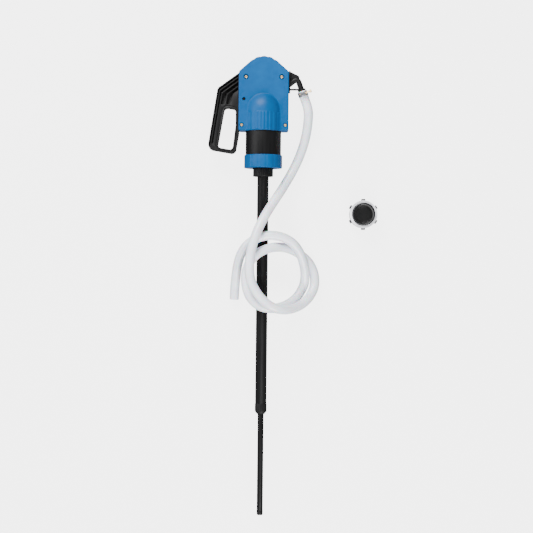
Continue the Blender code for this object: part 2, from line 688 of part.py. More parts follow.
TUBE_FLANGE = NECK_RADIUS - 0.0002
gasket_high = NECK_BOTTOM - GAP
gasket_low = gasket_high - 0.002
flange_high = gasket_low - GAP
flange_low = flange_high - 0.003
union_low = flange_low - GAP - 0.0026
union_high = union_low + UNION_LENGTH
tube_gasket = ring(PORT_RADIUS + 0.0005, TUBE_FLANGE - GAP, gasket_low, gasket_high)
node("tube_gasket", turned(tube_gasket), RUBBER)
union = [(NECK_RADIUS + SLACK, union_high), (UNION_RADIUS, union_high), (UNION_RADIUS, union_low)]
union += [(TUBE_RADIUS + SLACK, union_low), (TUBE_RADIUS + SLACK, flange_low - GAP)]
union += [(NECK_RADIUS + SLACK, flange_low - GAP)]
node("union_nut", turned(union), BLACK)

SPIGOT_RADIUS = TUBE_RADIUS - 0.0012
TUBE_END = TUBE_SHOULDER - 0.0183
tube = [(TUBE_BORE, flange_high), (TUBE_FLANGE, flange_high), (TUBE_FLANGE, flange_low)]
tube += [(TUBE_RADIUS, flange_low), (TUBE_RADIUS, TUBE_SHOULDER), (SPIGOT_RADIUS, TUBE_SHOULDER)]
tube += [(SPIGOT_RADIUS, TUBE_END), (TUBE_BORE, TUBE_END)]
node("upper_tube", turned(tube, ALONG_Y, TUBE_SIDES), TUBE_BLACK)

nut_top = TUBE_SHOULDER - GAP
nut_low = nut_top - NUT_LENGTH
nut_bore = LOWER_TUBE_RADIUS + GAP
lip_high = nut_low + 0.0057
seal_high = TUBE_END - GAP
nut = [(SPIGOT_RADIUS + GAP, nut_top), (NUT_RADIUS, nut_top), (NUT_RADIUS, nut_low + 0.006)]
nut += [(nut_bore + 0.0012, nut_low), (nut_bore, nut_low), (nut_bore, lip_high)]
nut += [(SPIGOT_RADIUS + GAP, lip_high)]
node("telescope_nut", turned(nut, ALONG_Y, TUBE_SIDES), BLACK)
telescope_seal = ring(nut_bore, SPIGOT_RADIUS, lip_high + GAP, seal_high)
node("telescope_seal", turned(telescope_seal, ALONG_Y, TUBE_SIDES), RUBBER)

lower = ring(LOWER_TUBE_BORE, LOWER_TUBE_RADIUS, LOWER_TUBE_END, LOWER_TUBE_TOP)
node("lower_tube", turned(lower, ALONG_Y, TUBE_SIDES), TUBE_BLACK)
stop = ring(nut_bore, TUBE_BORE - GAP, LOWER_TUBE_TOP - 0.010, LOWER_TUBE_TOP - 0.002)
node("tube_stop", turned(stop, ALONG_Y, TUBE_SIDES), ACETAL)

foot_top = LOWER_TUBE_END - GAP
foot_low = foot_top - FOOT_LENGTH
spigot = LOWER_TUBE_BORE - GAP
foot_bore = LOWER_TUBE_BORE - 0.002
spigot_top = LOWER_TUBE_END + 0.010
foot = [(foot_bore, spigot_top), (spigot, spigot_top), (spigot, foot_top)]
foot += [(LOWER_TUBE_RADIUS + GAP, foot_top), (LOWER_TUBE_RADIUS + GAP, foot_low + 0.0028)]
foot += [(LOWER_TUBE_RADIUS - 0.0015, foot_low), (foot_bore, foot_low)]
foot_strainer = node("foot_strainer", turned(foot, ALONG_Y, TUBE_SIDES), BLACK)
notch = block((-0.012, foot_low - 0.001, -0.0015), (0.012, foot_low + 0.007, 0.0015))
cut(foot_strainer, "foot_notch", notch)

# ---- Piston, rod and crosshead ------------------------------------------------------

ROD_TOP = PIN_Y - 0.00725
piston_rod = rod(ROD_RADIUS, PISTON_TOP - 0.025, ROD_TOP)
node("piston_rod", turned(piston_rod, ALONG_Y, TUBE_SIDES), STEEL)

piston_bottom = PISTON_TOP - PISTON_HEIGHT
PISTON_RADIUS = BORE_RADIUS - 0.0007
PISTON_GROOVE = PISTON_RADIUS - 0.0046
piston_seal_low = piston_bottom + 0.006
piston_seal_high = piston_seal_low + 0.006
groove_low = piston_seal_low - GAP
groove_high = piston_seal_high + GAP
body = [(rod_bore, piston_bottom), (PISTON_RADIUS, piston_bottom), (PISTON_RADIUS, groove_low)]
body += [(PISTON_GROOVE, groove_low), (PISTON_GROOVE, groove_high)]
body += [(PISTON_RADIUS, groove_high), (PISTON_RADIUS, PISTON_TOP), (rod_bore, PISTON_TOP)]
piston = node("piston", turned(body), ACETAL)
PORTS = 6
PORT_CIRCLE = 0.022
for index in range(PORTS):
    angle = math.tau * index / PORTS
    middle = Vector((PORT_CIRCLE * math.cos(angle), 0, PORT_CIRCLE * math.sin(angle)))
    port = turned(
        rod(0.0045, piston_bottom - 0.001, PISTON_TOP + 0.001),
        Matrix.Translation(middle) @ ALONG_Y,
        SCREW_SIDES,
    )
    cut(piston, f"piston_port_{index}", port)
piston_seal = ring(PISTON_GROOVE + GAP, SEAL_RADIUS, piston_seal_low, piston_seal_high)
node("piston_seal", turned(piston_seal), RUBBER)

flap_low = PISTON_TOP + GAP
flap_high = flap_low + VALVE_THICKNESS
flap = ring(ROD_RADIUS + 0.001, 0.031, flap_low, flap_high)
node("piston_valve", turned(flap), RUBBER)
guard_low = flap_high + VALVE_LIFT + GAP
guard = ring(rod_bore, 0.029, guard_low, guard_low + 0.002)
node("valve_guard", turned(guard), STEEL)
nut_face = piston_bottom - GAP
hexagon = turned(rod(0.009, nut_face - 0.0057, nut_face), ALONG_Y, 6)
piston_nut = node("piston_nut", hexagon, STEEL)
nut_hole = turned(rod(rod_bore, nut_face - 0.007, nut_face + 0.001), ALONG_Y, TUBE_SIDES)
cut(piston_nut, "piston_nut_hole", nut_hole)

eye_low = PIN_Y - 0.01145
eye_turns = [math.pi * step / 8 for step in range(9)]
eye_arc = [(EYE_RADIUS * math.cos(a), PIN_Y + EYE_RADIUS * math.sin(a)) for a in eye_turns]
eye_outline = [(-EYE_RADIUS, eye_low), (EYE_RADIUS, eye_low)] + eye_arc
rod_eye = node("rod_eye", plate(eye_outline, -EYE_HALF_DEPTH, EYE_HALF_DEPTH), ACETAL)
cut(rod_eye, "eye_pin_hole", disc(0, PIN_Y, PIN_RADIUS + GAP, -0.01, 0.01, SCREW_SIDES))
eye_rod_hole = rod(rod_bore, eye_low - 0.001, ROD_TOP + GAP)
cut(rod_eye, "eye_rod_hole", turned(eye_rod_hole, ALONG_Y, TUBE_SIDES))

CLIP_START = FORK_OUTER + SLACK
node("crosshead_pin", disc(0, PIN_Y, PIN_RADIUS, -0.016, 0.016, SCREW_SIDES), STEEL)
for label, side in (("front", 1), ("rear", -1)):
    clip = ring(PIN_RADIUS + GAP, 0.0062, *spread(side, CLIP_START, CLIP_START + 0.0012))
    node("pin_clip_" + label, turned(clip, Matrix.Translation((0, PIN_Y, 0)), SCREW_SIDES), STEEL)

# ---- Lever --------------------------------------------------------------------------

LEVER_CORNERS = [
    (-0.0578, 0.1172, 0),
    (-0.1200, 0.0720, 0.014),
    (-0.1450, -0.0863, 0.016),
    (-0.0720, -0.0984, 0.012),
    (-0.0629, -0.0440, 0.010),
    (-0.0629, 0.0080, 0.006),
    (-0.0475, 0.0310, 0.004),
    (-0.0385, 0.0550, 0.010),
    (-0.0300, 0.0900, 0),
]
GRIP_CORNERS = [
    (-0.1005, 0.0223, 0.009),
    (-0.0724, 0.0180, 0.007),
    (-0.0723, -0.0240, 0.020),
    (-0.0800, -0.0880, 0.008),
    (-0.1185, -0.0815, 0.009),
]
# Recesses between the ribs, as distances in from the top edge and in from the outer edge:
# (top start, top end, outer start, outer end, how far down it runs)
CHANNELS = [
    (0.0030, 0.0072, 0.0026, 0.0056, -0.0760),
    (0.0094, 0.0156, 0.0080, 0.0124, -0.0720),
    (0.0180, 0.0260, 0.0150, 0.0262, 0.0300),
    (0.0285, 0.0356, 0.0290, 0.0415, 0.0300),
]


def edge_offset(first, second, offset):
    """A line along two lever corners, moved into the lever: (point, direction)."""
    start = Vector(LEVER_CORNERS[first][:2])
    heading = (Vector(LEVER_CORNERS[second][:2]) - start).normalized()
    return start + Vector((-heading.y, heading.x)) * offset, heading


def crossing(one, other):
    """Where two (point, direction) lines cross."""
    (here, along_one), (there, along_other) = one, other
    cross = along_one.x * along_other.y - along_one.y * along_other.x
    reach = ((there.x - here.x) * along_other.y - (there.y - here.y) * along_other.x) / cross
    return here + along_one * reach


def channel_outline(top_start, top_end, outer_start, outer_end, foot):
    """One recess: along the top edge, round the elbow and down the outer edge."""
    inner_stop = (Vector((-0.066, 0)), Vector((0, 1)))
    floor = (Vector((0, foot)), Vector((1, 0)))
    high = edge_offset(0, 1, top_start)
    low = edge_offset(0, 1, top_end)
    out = edge_offset(1, 2, outer_start)
    back = edge_offset(1, 2, outer_end)
    corners = [
        (*crossing(high, inner_stop), 0.001),
        (*crossing(high, out), 0.008),
        (*crossing(out, floor), 0.001),
        (*crossing(back, floor), 0.001),
        (*crossing(low, back), 0.003),
        (*crossing(low, inner_stop), 0.001),
    ]
    return rounded(corners, 2)


def fork_outline():
    """One cheek of the crank fork, along the fork's own line from the pivot."""
    tip = SLOT_END + FORK_END - FORK_HALF_WIDTH
    outline = [(0.008, -FORK_HALF_WIDTH)]
    for step in range(7):
        angle = -math.pi / 2 + math.pi * step / 6
        outline.append((tip + FORK_HALF_WIDTH * math.cos(angle), FORK_HALF_WIDTH * math.sin(angle)))
    return outline + [(0.008, FORK_HALF_WIDTH)]


def slot_outline(half, start, end):
    """A slot with round ends, along the fork's own line."""
    outline = []
    for middle, first in ((end, -math.pi / 2), (start, math.pi / 2)):
        for step in range(7):
            angle = first + math.pi * step / 6
            outline.append((middle + half * math.cos(angle), half * math.sin(angle)))
    return outline


def lever():
    """The handle, its ribbed arm, the hub and the crank fork, moulded in one."""
    pivot = (PIVOT_X, PIVOT_Y, 0)
    arm = plate(rounded(LEVER_CORNERS), -LEVER_HALF_DEPTH, LEVER_HALF_DEPTH)
    made = node("lever", arm, BLACK, pivot)
    hub_half = LEVER_HALF_DEPTH - 0.0001
    join(made, "lever_hub", disc(PIVOT_X, PIVOT_Y, HUB_RADIUS, -hub_half, hub_half, 24))
    join(made, "lever_boss", disc(PIVOT_X, PIVOT_Y, 0.014, -HUB_HALF_DEPTH, HUB_HALF_DEPTH, 24))
    lay = Matrix.Translation(pivot) @ Matrix.Rotation(FORK_ANGLE, 4, "Z")
    for label, side in (("front", 1), ("rear", -1)):
        cheek = plate(fork_outline(), *spread(side, FORK_INNER, FORK_OUTER), lay)
        join(made, "fork_cheek_" + label, cheek)
    past_arm = LEVER_HALF_DEPTH + 0.005
    cut(made, "grip_opening", plate(rounded(GRIP_CORNERS), -past_arm, past_arm))
    for index, channel in enumerate(CHANNELS):
        for label, side in (("front", 1), ("rear", -1)):
            recess = plate(channel_outline(*channel), *spread(side, LEVER_WEB_HALF, past_arm))
            cut(made, f"lever_channel_{index}_{label}", recess)
    cut(made, "lever_bore", disc(PIVOT_X, PIVOT_Y, SLEEVE_RADIUS + GAP, -0.03, 0.03))
    slot = slot_outline(PIN_RADIUS + 2 * SLACK, SLOT_START, SLOT_END)
    cut(made, "fork_slot", plate(slot, -past_arm, past_arm, lay))
    padlock = disc(*PADLOCK_HOLE, PADLOCK_RADIUS, -past_arm, past_arm, POCKET_SIDES)
    cut(made, "lever_padlock_hole", padlock)
    return made


lever()

# ---- Hose and clamp -----------------------------------------------------------------

spout_place = along(SPOUT_DIRECTION, SPOUT_POINT)
cuff = ring(BARB_RADIUS + GAP, HOSE_RADIUS, GAP, GAP + CUFF_LENGTH)
node("hose_cuff", turned(cuff, spout_place, TUBE_SIDES), HOSE_MILK)

band_inner = HOSE_RADIUS + GAP
band_outer = band_inner + BAND_THICKNESS
band = ring(band_inner, band_outer, CLAMP_START, CLAMP_START + CLAMP_WIDTH)
node("clamp_band", turned(band, spout_place, 24), STEEL)

# The worm housing sits on the band's front, with its screw across the hose
ACROSS = Vector((-SPOUT_DIRECTION.y, SPOUT_DIRECTION.x, 0))
clamp_middle = SPOUT_POINT + SPOUT_DIRECTION * (CLAMP_START + CLAMP_WIDTH / 2)
clamp_frame = Matrix.Translation(clamp_middle) @ Matrix.Rotation(
    math.atan2(ACROSS.y, ACROSS.x), 4, "Z"
)
screw_height = band_outer + GAP + 0.0037
housing_low = band_outer + GAP
housing = block((-0.009, -0.0048, housing_low), (0.005, 0.0048, screw_height + 0.0037))
housing.transform(clamp_frame)
clamp_housing = node("clamp_housing", housing, STEEL)
screw_middle = clamp_middle + Vector((0, 0, screw_height))
screw_place = along(ACROSS, screw_middle)
cut(clamp_housing, "clamp_screw_hole", turned(
    rod(CLAMP_SCREW_RADIUS + GAP, -0.012, 0.008), screw_place, SCREW_SIDES
))
thread_end, under_head, head_end = -0.0105, 0.018, 0.0225
clamp_screw = [(0, thread_end), (CLAMP_SCREW_RADIUS, thread_end), (CLAMP_SCREW_RADIUS, under_head)]
clamp_screw += [(0.0040, under_head), (0.0040, head_end), (0, head_end)]
node("clamp_screw", turned(clamp_screw, screw_place, SCREW_SIDES), BRASS, screw_middle)


def smooth_line(points, steps):
    """A Catmull-Rom curve through the points, evenly timed by the roots of their distances."""
    ends = [2 * points[0] - points[1], *points, 2 * points[-1] - points[-2]]
    line = []
    for here in range(1, len(ends) - 2):
        a, b, c, d = ends[here - 1 : here + 3]
        times = [0.0]
        for one, two in ((a, b), (b, c), (c, d)):
            times.append(times[-1] + math.sqrt((two - one).length))
        t0, t1, t2, t3 = times
        for step in range(steps):
            t = t1 + (t2 - t1) * step / steps
            ab = (a * (t1 - t) + b * (t - t0)) / (t1 - t0)
            bc = (b * (t2 - t) + c * (t - t1)) / (t2 - t1)
            cd = (c * (t3 - t) + d * (t - t2)) / (t3 - t2)
            abc = (ab * (t2 - t) + bc * (t - t0)) / (t2 - t0)
            bcd = (bc * (t3 - t) + cd * (t - t1)) / (t3 - t1)
            line.append((abc * (t2 - t) + bcd * (t - t1)) / (t2 - t1))
    return line + [points[-1]]


def spaced(line, step):
    """The same line, with its points an equal distance apart."""
    lengths = [(two - one).length for one, two in zip(line, line[1:])]
    count = max(2, round(sum(lengths) / step))
    pace = sum(lengths) / count
    points = [line[0]]
    walked = 0.0
    for (one, two), length in zip(zip(line, line[1:]), lengths):
        while walked + length >= pace * len(points) and len(points) < count:
            points.append(one.lerp(two, (pace * len(points) - walked) / length))
        walked += length
    return points + [line[-1]]


def hose():
    """The free hose: a round tube along its route."""
    lift = Vector((0, 0, PUMP_AXIS_HEIGHT))
    start = SPOUT_POINT + SPOUT_DIRECTION * (2 * GAP + CUFF_LENGTH) + lift
    route = [start + SPOUT_DIRECTION * HOSE_RADIUS] + [Vector(point) for point in HOSE_ROUTE]
    points = [start] + spaced(smooth_line(route, 16), HOSE_STEP)
    curve = bpy.data.curves.new("hose", "CURVE")
    curve.dimensions = "3D"
    curve.bevel_depth = HOSE_RADIUS
    curve.bevel_resolution = 3
    curve.use_fill_caps = True
    spline = curve.splines.new("POLY")
    spline.points.add(len(points) - 1)
    for spot, point in zip(spline.points, points):
        spot.co = (*point, 1)
    curve.materials.append(HOSE_MILK)
    made = bpy.data.objects.new("hose", curve)
    bpy.context.scene.collection.objects.link(made)


hose()

# ---- Drum adapter -------------------------------------------------------------------

adapter_place = Matrix.Translation((ADAPTER_X, ADAPTER_Y, 0))
adapter_spot = (ADAPTER_X, ADAPTER_Y, 0)
profile = [(SOCKET_RADIUS, 0), (SKIRT_RADIUS, 0), (SKIRT_RADIUS, SKIRT_HEIGHT)]
profile += [(THREAD_RADIUS, SKIRT_HEIGHT), (THREAD_RADIUS, ADAPTER_HEIGHT - 0.0013)]
profile += [(THREAD_RADIUS - 0.0013, ADAPTER_HEIGHT), (ADAPTER_BORE, ADAPTER_HEIGHT)]
profile += [(ADAPTER_BORE, SOCKET_DEPTH), (SOCKET_RADIUS, SOCKET_DEPTH)]
adapter = node("drum_adapter", turned(profile, adapter_place), BLACK, adapter_spot, None)
lug_top = SKIRT_HEIGHT - 0.001
for index in range(LUGS):
    lug = block((SKIRT_RADIUS - 0.002, -LUG_WIDTH / 2, 0), (LUG_RADIUS, LUG_WIDTH / 2, lug_top))
    lug.transform(adapter_place @ Matrix.Rotation(math.tau * (index + 0.5) / LUGS, 4, "Z"))
    combine(adapter, helper(f"adapter_lug_{index}", lug, (0, 0, 0), None), "UNION")
gasket_low = SKIRT_HEIGHT + GAP
gasket = ring(THREAD_RADIUS + GAP, GASKET_RADIUS, gasket_low, gasket_low + GASKET_THICKNESS)
node("adapter_gasket", turned(gasket, adapter_place), GASKET_WHITE, adapter_spot, None)
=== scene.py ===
import json
import math

import bmesh
import bpy
import numpy as np
from mathutils import Matrix, Vector


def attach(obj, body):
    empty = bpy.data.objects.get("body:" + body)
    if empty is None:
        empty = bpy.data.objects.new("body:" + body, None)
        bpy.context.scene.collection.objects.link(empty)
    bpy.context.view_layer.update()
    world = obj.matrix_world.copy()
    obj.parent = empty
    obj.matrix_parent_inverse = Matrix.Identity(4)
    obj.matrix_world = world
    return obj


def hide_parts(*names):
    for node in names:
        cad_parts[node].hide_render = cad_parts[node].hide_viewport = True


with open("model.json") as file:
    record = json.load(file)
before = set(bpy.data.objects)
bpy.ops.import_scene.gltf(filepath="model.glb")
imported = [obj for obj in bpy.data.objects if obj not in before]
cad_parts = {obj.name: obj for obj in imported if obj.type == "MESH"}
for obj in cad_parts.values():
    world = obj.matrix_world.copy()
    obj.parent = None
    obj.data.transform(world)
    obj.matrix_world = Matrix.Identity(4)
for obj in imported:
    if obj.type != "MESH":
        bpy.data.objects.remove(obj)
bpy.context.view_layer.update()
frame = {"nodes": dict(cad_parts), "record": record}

# ---- View, floor and light -------------------------------------------------------------
# The pump lies on its back on a pale glowing table and is looked at from straight above, nearly
# four metres up. The table's glow carries painted shade: dark spots under the padlock hole and in the
# adapter's bore.

eye = bpy.data.cameras.new("eye")
eye.lens = 94.6
eye.sensor_width = 36.0
camera = bpy.data.objects.new("camera", eye)
camera.location = (0.0114, -0.3887, 3.6895)
camera.rotation_euler = (0, 0, math.radians(0.573))
bpy.context.scene.collection.objects.link(camera)
bpy.context.scene.camera = camera


class Wire:
    """One output of a node. Arithmetic on it adds Math nodes to its graph."""

    def __init__(self, graph, socket):
        self.graph = graph
        self.socket = socket

    def __add__(self, other):
        return self.graph.math("ADD", self, other)

    def __sub__(self, other):
        return self.graph.math("SUBTRACT", self, other)

    def __rsub__(self, other):
        return self.graph.math("SUBTRACT", other, self)

    def __mul__(self, other):
        return self.graph.math("MULTIPLY", self, other)

    def __truediv__(self, other):
        return self.graph.math("DIVIDE", self, other)

    __radd__ = __add__
    __rmul__ = __mul__


class Graph:
    """A node tree that is written as expressions."""

    def __init__(self, tree):
        self.tree = tree

    def node(self, kind, settings=None, values=None, output=0):
        """Adds a node: its settings first, then the values or links of its sockets."""
        made = self.tree.nodes.new(kind)
        for name, value in (settings or {}).items():
            if name == "stops":
                ramp = made.color_ramp.elements
                while len(ramp) < len(value):
                    ramp.new(0.5)
                for stop, (place, colour) in zip(ramp, value):
                    stop.position = place
                    stop.color = (*colour, 1.0)
            else:
                setattr(made, name, value)
        for name, value in (values or {}).items():
            if isinstance(value, Wire):
                self.tree.links.new(value.socket, made.inputs[name])
            else:
                made.inputs[name].default_value = value
        return Wire(self, made.outputs[output])

    def math(self, operation, *terms):
        """A Math node on wires or numbers."""
        kind = "ShaderNodeMath"
        return self.node(kind, {"operation": operation}, dict(enumerate(terms)))


class Surface(Graph):
    """A material: constants go on its shader's own sockets, and what varies is fed."""

    def __init__(self, name, **constants):
        self.material = bpy.data.materials.new(name)
        self.material.use_nodes = True
        super().__init__(self.material.node_tree)
        self.shader = self.tree.nodes["Principled BSDF"]
        for socket, value in constants.items():
            self.shader.inputs[socket.replace("_", " ")].default_value = value
        self.place = self.node("ShaderNodeTexCoord", output="Object")

    def stretched(self, scale, where=None):
        """Object coordinates with a scale for each axis."""
        values = {"Vector": where or self.place, "Scale": scale}
        return self.node("ShaderNodeMapping", {}, values)

    def noise(self, scale, detail=3.0, rough=0.5, where=None):
        """Soft noise from 0 to 1, with a scale in features per metre."""
        values = {"Vector": where or self.place, "Scale": scale, "Detail": detail}
        values["Roughness"] = rough
        return self.node("ShaderNodeTexNoise", {}, values, "Fac")

    def ramp(self, factor, *stops):
        """A colour for each value of a factor."""
        return self.node("ShaderNodeValToRGB", {"stops": stops}, {"Fac": factor}, "Color")

    def feed(self, socket, wire):
        """Links a wire to the shader."""
        self.tree.links.new(wire.socket, self.shader.inputs[socket])

    def bump(self, height, strength, distance):
        """Turns a height into the shader's normal."""
        values = {"Height": height, "Strength": strength, "Distance": distance}
        self.feed("Normal", self.node("ShaderNodeBump", {}, values, "Normal"))


TABLE_HALF = 9
# Painted shade: spots where the table's glow is turned down to black, standing in for the shade under
# the padlock hole and inside the adapter's bore.
SHADED_SPOTS = [((-0.045, 0.048, 0.0), 0.014, 0.026), ((0.2636, -0.2496, 0.0), 0.026, 0.034)]
BLACK, WHITE = (0.0, 0.0, 0.0), (1.0, 1.0, 1.0)

table_paint = Surface("table_paint", Roughness=1.0, Specular_IOR_Level=0.0, Emission_Strength=4.2)
blotch = table_paint.noise(1.5)
table_paint.feed("Base Color", table_paint.ramp(blotch, (0.3, (0.24,) * 3), (0.7, (0.26,) * 3)))
shade = 1.0
for spot, dark_radius, light_radius in SHADED_SPOTS:
    away = table_paint.node("ShaderNodeVectorMath", {"operation": "DISTANCE"}, {
        0: table_paint.place, 1: spot}, "Value")
    shade = table_paint.node("ShaderNodeMapRange", {"interpolation_type": "SMOOTHSTEP"}, {
        "Value": away, "From Min": dark_radius, "From Max": light_radius}, "Result") * shade
# The painted shade spots darken the table's emission colour.
table_paint.feed("Emission Color", table_paint.ramp(shade, (0.0, BLACK), (1.0, WHITE)))
floor_mesh = bpy.data.meshes.new("table")
floor_corners = [(x * TABLE_HALF, y * TABLE_HALF, 0) for x, y in ((-1, -1), (1, -1), (1, 1), (-1, 1))]
floor_mesh.from_pydata(floor_corners, [], [(0, 1, 2, 3)])
floor_mesh.materials.append(table_paint.material)
floor = bpy.data.objects.new("table", floor_mesh)
bpy.context.scene.collection.objects.link(floor)
floor.visible_diffuse = False
floor.visible_glossy = False

sky = bpy.data.worlds.new("studio")
sky.use_nodes = True
sky_light = sky.node_tree.nodes["Background"].inputs
sky_light["Color"].default_value = (*WHITE, 1.0)
sky_light["Strength"].default_value = 0.45
bpy.context.scene.world = sky


def softbox(name, place, aim, size, watts):
    """A square lamp that looks at a point."""
    lamp = bpy.data.lights.new(name, "AREA")
    lamp.size = size
    lamp.energy = watts
    made = bpy.data.objects.new(name, lamp)
    made.location = place
    made.rotation_euler = (Vector(aim) - Vector(place)).to_track_quat("-Z", "Y").to_euler()
    bpy.context.scene.collection.objects.link(made)


softbox("head_softbox", (-0.9, 2.2, 2.0), (0, -0.2, 0), 1.8, 270)
softbox("foot_softbox", (0.5, -3.0, 2.0), (0, -0.5, 0), 1.8, 250)
softbox("left_softbox", (-2.4, 0.2, 1.6), (0, -0.3, 0), 1.6, 50)

# ---- Discharge hose --------------------------------------------------------------------
# Soft milky vinyl hose, extruded, 24 mm outside and 19 mm inside. It runs from the spout,
# over the suction tube, round in two loose turns and ends cut square on the table.

AXIS_HEIGHT = 0.0495
GAP = 0.0003
SPOUT_POINT = Vector((0.0993, 0.0673, AXIS_HEIGHT))
SPOUT_DIRECTION = Vector((0.342, -0.940, 0.0)).normalized()
HOSE_RADIUS = 0.012
HOSE_BORE = 0.0095
CUFF_BORE = 0.0096
CUFF_LENGTH = 0.0267
HOSE_SIDES = 32
HOSE_PACE = 0.006
HOSE_ROUTE = [
    (0.1164, 0.0115, 0.0480),
    (0.1150, -0.0205, 0.0350),
    (0.1100, -0.0515, 0.0260),
    (0.1015, -0.0820, 0.0195),
    (0.0900, -0.1120, 0.0180),
    (0.0760, -0.1410, 0.0230),
    (0.0610, -0.1680, 0.0335),
    (0.0460, -0.1935, 0.0470),
    (0.0305, -0.2180, 0.0615),
    (0.0150, -0.2430, 0.0750),
    (0.0005, -0.2690, 0.0875),
    (-0.0125, -0.2970, 0.0985),
    (-0.0225, -0.3265, 0.1055),
    (-0.0300, -0.3580, 0.1075),
    (-0.0325, -0.3905, 0.1075),
    (-0.0290, -0.4225, 0.1070),
    (-0.0155, -0.4520, 0.1065),
    (0.0050, -0.4770, 0.1065),
    (0.0315, -0.4945, 0.1020),
    (0.0595, -0.4995, 0.0865),
    (0.0840, -0.4955, 0.0660),
    (0.1070, -0.4840, 0.0465),
    (0.1260, -0.4645, 0.0285),
    (0.1375, -0.4380, 0.0155),
    (0.1360, -0.4060, 0.0127),
    (0.1220, -0.3770, 0.0135),
    (0.0985, -0.3560, 0.0205),
    (0.0735, -0.3435, 0.0370),
    (0.0490, -0.3385, 0.0575),
    (0.0220, -0.3405, 0.0745),
    (-0.0070, -0.3525, 0.0810),
    (-0.0300, -0.3750, 0.0805),
    (-0.0410, -0.4055, 0.0800),
    (-0.0405, -0.4380, 0.0795),
    (-0.0300, -0.4680, 0.0790),
    (-0.0065, -0.4900, 0.0785),
    (0.0235, -0.4970, 0.0710),
    (0.0495, -0.4935, 0.0525),
    (0.0735, -0.4830, 0.0330),
    (0.0945, -0.4645, 0.0175),
    (0.1095, -0.4360, 0.0145),
    (0.1125, -0.4065, 0.0265),
    (0.1075, -0.3790, 0.0425),
    (0.0970, -0.3520, 0.0570),
    (0.0785, -0.3280, 0.0690),
    (0.0515, -0.3130, 0.0765),
    (0.0195, -0.3085, 0.0790),
    (-0.0120, -0.3155, 0.0775),
    (-0.0380, -0.3325, 0.0700),
    (-0.0550, -0.3570, 0.0580),
    (-0.0635, -0.3845, 0.0430),
    (-0.0680, -0.4135, 0.0285),
    (-0.0710, -0.4435, 0.0170),
    (-0.0725, -0.4755, 0.0125),
]


def smooth_line(points, steps):
    """A Catmull-Rom curve through the points, timed by the roots of their distances."""
    ends = [2 * points[0] - points[1], *points, 2 * points[-1] - points[-2]]
    line = []
    for here in range(1, len(ends) - 2):
        a, b, c, d = ends[here - 1 : here + 3]
        times = [0.0]
        for one, two in ((a, b), (b, c), (c, d)):
            times.append(times[-1] + math.sqrt((two - one).length))
        t0, t1, t2, t3 = times
        for step in range(steps):
            t = t1 + (t2 - t1) * step / steps
            ab = (a * (t1 - t) + b * (t - t0)) / (t1 - t0)
            bc = (b * (t2 - t) + c * (t - t1)) / (t2 - t1)
            cd = (c * (t3 - t) + d * (t - t2)) / (t3 - t2)
            abc = (ab * (t2 - t) + bc * (t - t0)) / (t2 - t0)
            bcd = (bc * (t3 - t) + cd * (t - t1)) / (t3 - t1)
            line.append((abc * (t2 - t) + bcd * (t - t1)) / (t2 - t1))
    return line + [points[-1]]


def spaced(line, step):
    """The same line, with its points an equal distance apart."""
    lengths = [(two - one).length for one, two in zip(line, line[1:])]
    count = max(2, round(sum(lengths) / step))
    pace = sum(lengths) / count
    points = [line[0]]
    walked = 0.0
    for (one, two), length in zip(zip(line, line[1:]), lengths):
        while walked + length >= pace * len(points) and len(points) < count:
            points.append(one.lerp(two, (pace * len(points) - walked) / length))
        walked += length
    return points + [line[-1]]


def skin(rings, closed):
    """A mesh over rings of points, one after the other, each joined round to itself."""
    count, sides = len(rings), len(rings[0])
    faces = []
    for ring in range(count if closed else count - 1):
        after = (ring + 1) % count
        for side in range(sides):
            turn = (side + 1) % sides
            faces.append((ring * sides + side, ring * sides + turn,
                          after * sides + turn, after * sides + side))
    shape = bmesh.new()
    corners = [shape.verts.new(point) for ring in rings for point in ring]
    for face in faces:
        shape.faces.new([corners[index] for index in face])
    return shape


def tube(line, outer, inner, sides, lip=0.0006):
    """A hollow tube along a line, with square ends whose edges are rounded."""
    along = [(after - before).normalized() for before, after in zip(line, line[1:])]
    along = [along[0]] + [(a + b).normalized() for a, b in zip(along, along[1:])] + [along[-1]]
    side = along[0].orthogonal().normalized()
    frames = []
    for point, heading in zip(line, along):
        side = (side - heading * side.dot(heading)).normalized()
        frames.append((point, side, heading.cross(side), heading))

    def ring(spot, radius, shift=0.0):
        point, one, two, heading = spot
        angles = [math.tau * turn / sides for turn in range(sides)]
        centre = point + heading * shift
        return [centre + one * radius * math.cos(a) + two * radius * math.sin(a) for a in angles]

    first, last = frames[0], frames[-1]
    rings = [ring(first, outer - lip), ring(first, outer, lip)]
    rings += [ring(spot, outer) for spot in frames[1:-1]]
    rings += [ring(last, outer, -lip), ring(last, outer - lip), ring(last, inner + lip)]
    rings += [ring(last, inner, -lip)] + [ring(spot, inner) for spot in frames[-2:0:-1]]
    rings += [ring(first, inner, lip), ring(first, inner + lip)]
    return skin(rings, True)


def piece(name, shape, surface, body, nodes, sharp=35):
    """Makes an object of a shape, puts it on its body and lets it stand for CAD nodes."""
    if isinstance(shape, bmesh.types.BMesh):
        bmesh.ops.remove_doubles(shape, verts=shape.verts, dist=1e-6)
        bmesh.ops.recalc_face_normals(shape, faces=shape.faces)
        mesh = bpy.data.meshes.new(name)
        shape.to_mesh(mesh)
        shape.free()
    else:
        mesh = shape
        mesh.name = name
    mesh.shade_smooth()
    mesh.set_sharp_from_angle(angle=math.radians(sharp))
    mesh.materials.clear()
    mesh.materials.append(surface.material)
    made = bpy.data.objects.new(name, mesh)
    bpy.context.scene.collection.objects.link(made)
    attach(made, body)
    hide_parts(*nodes)
    return made


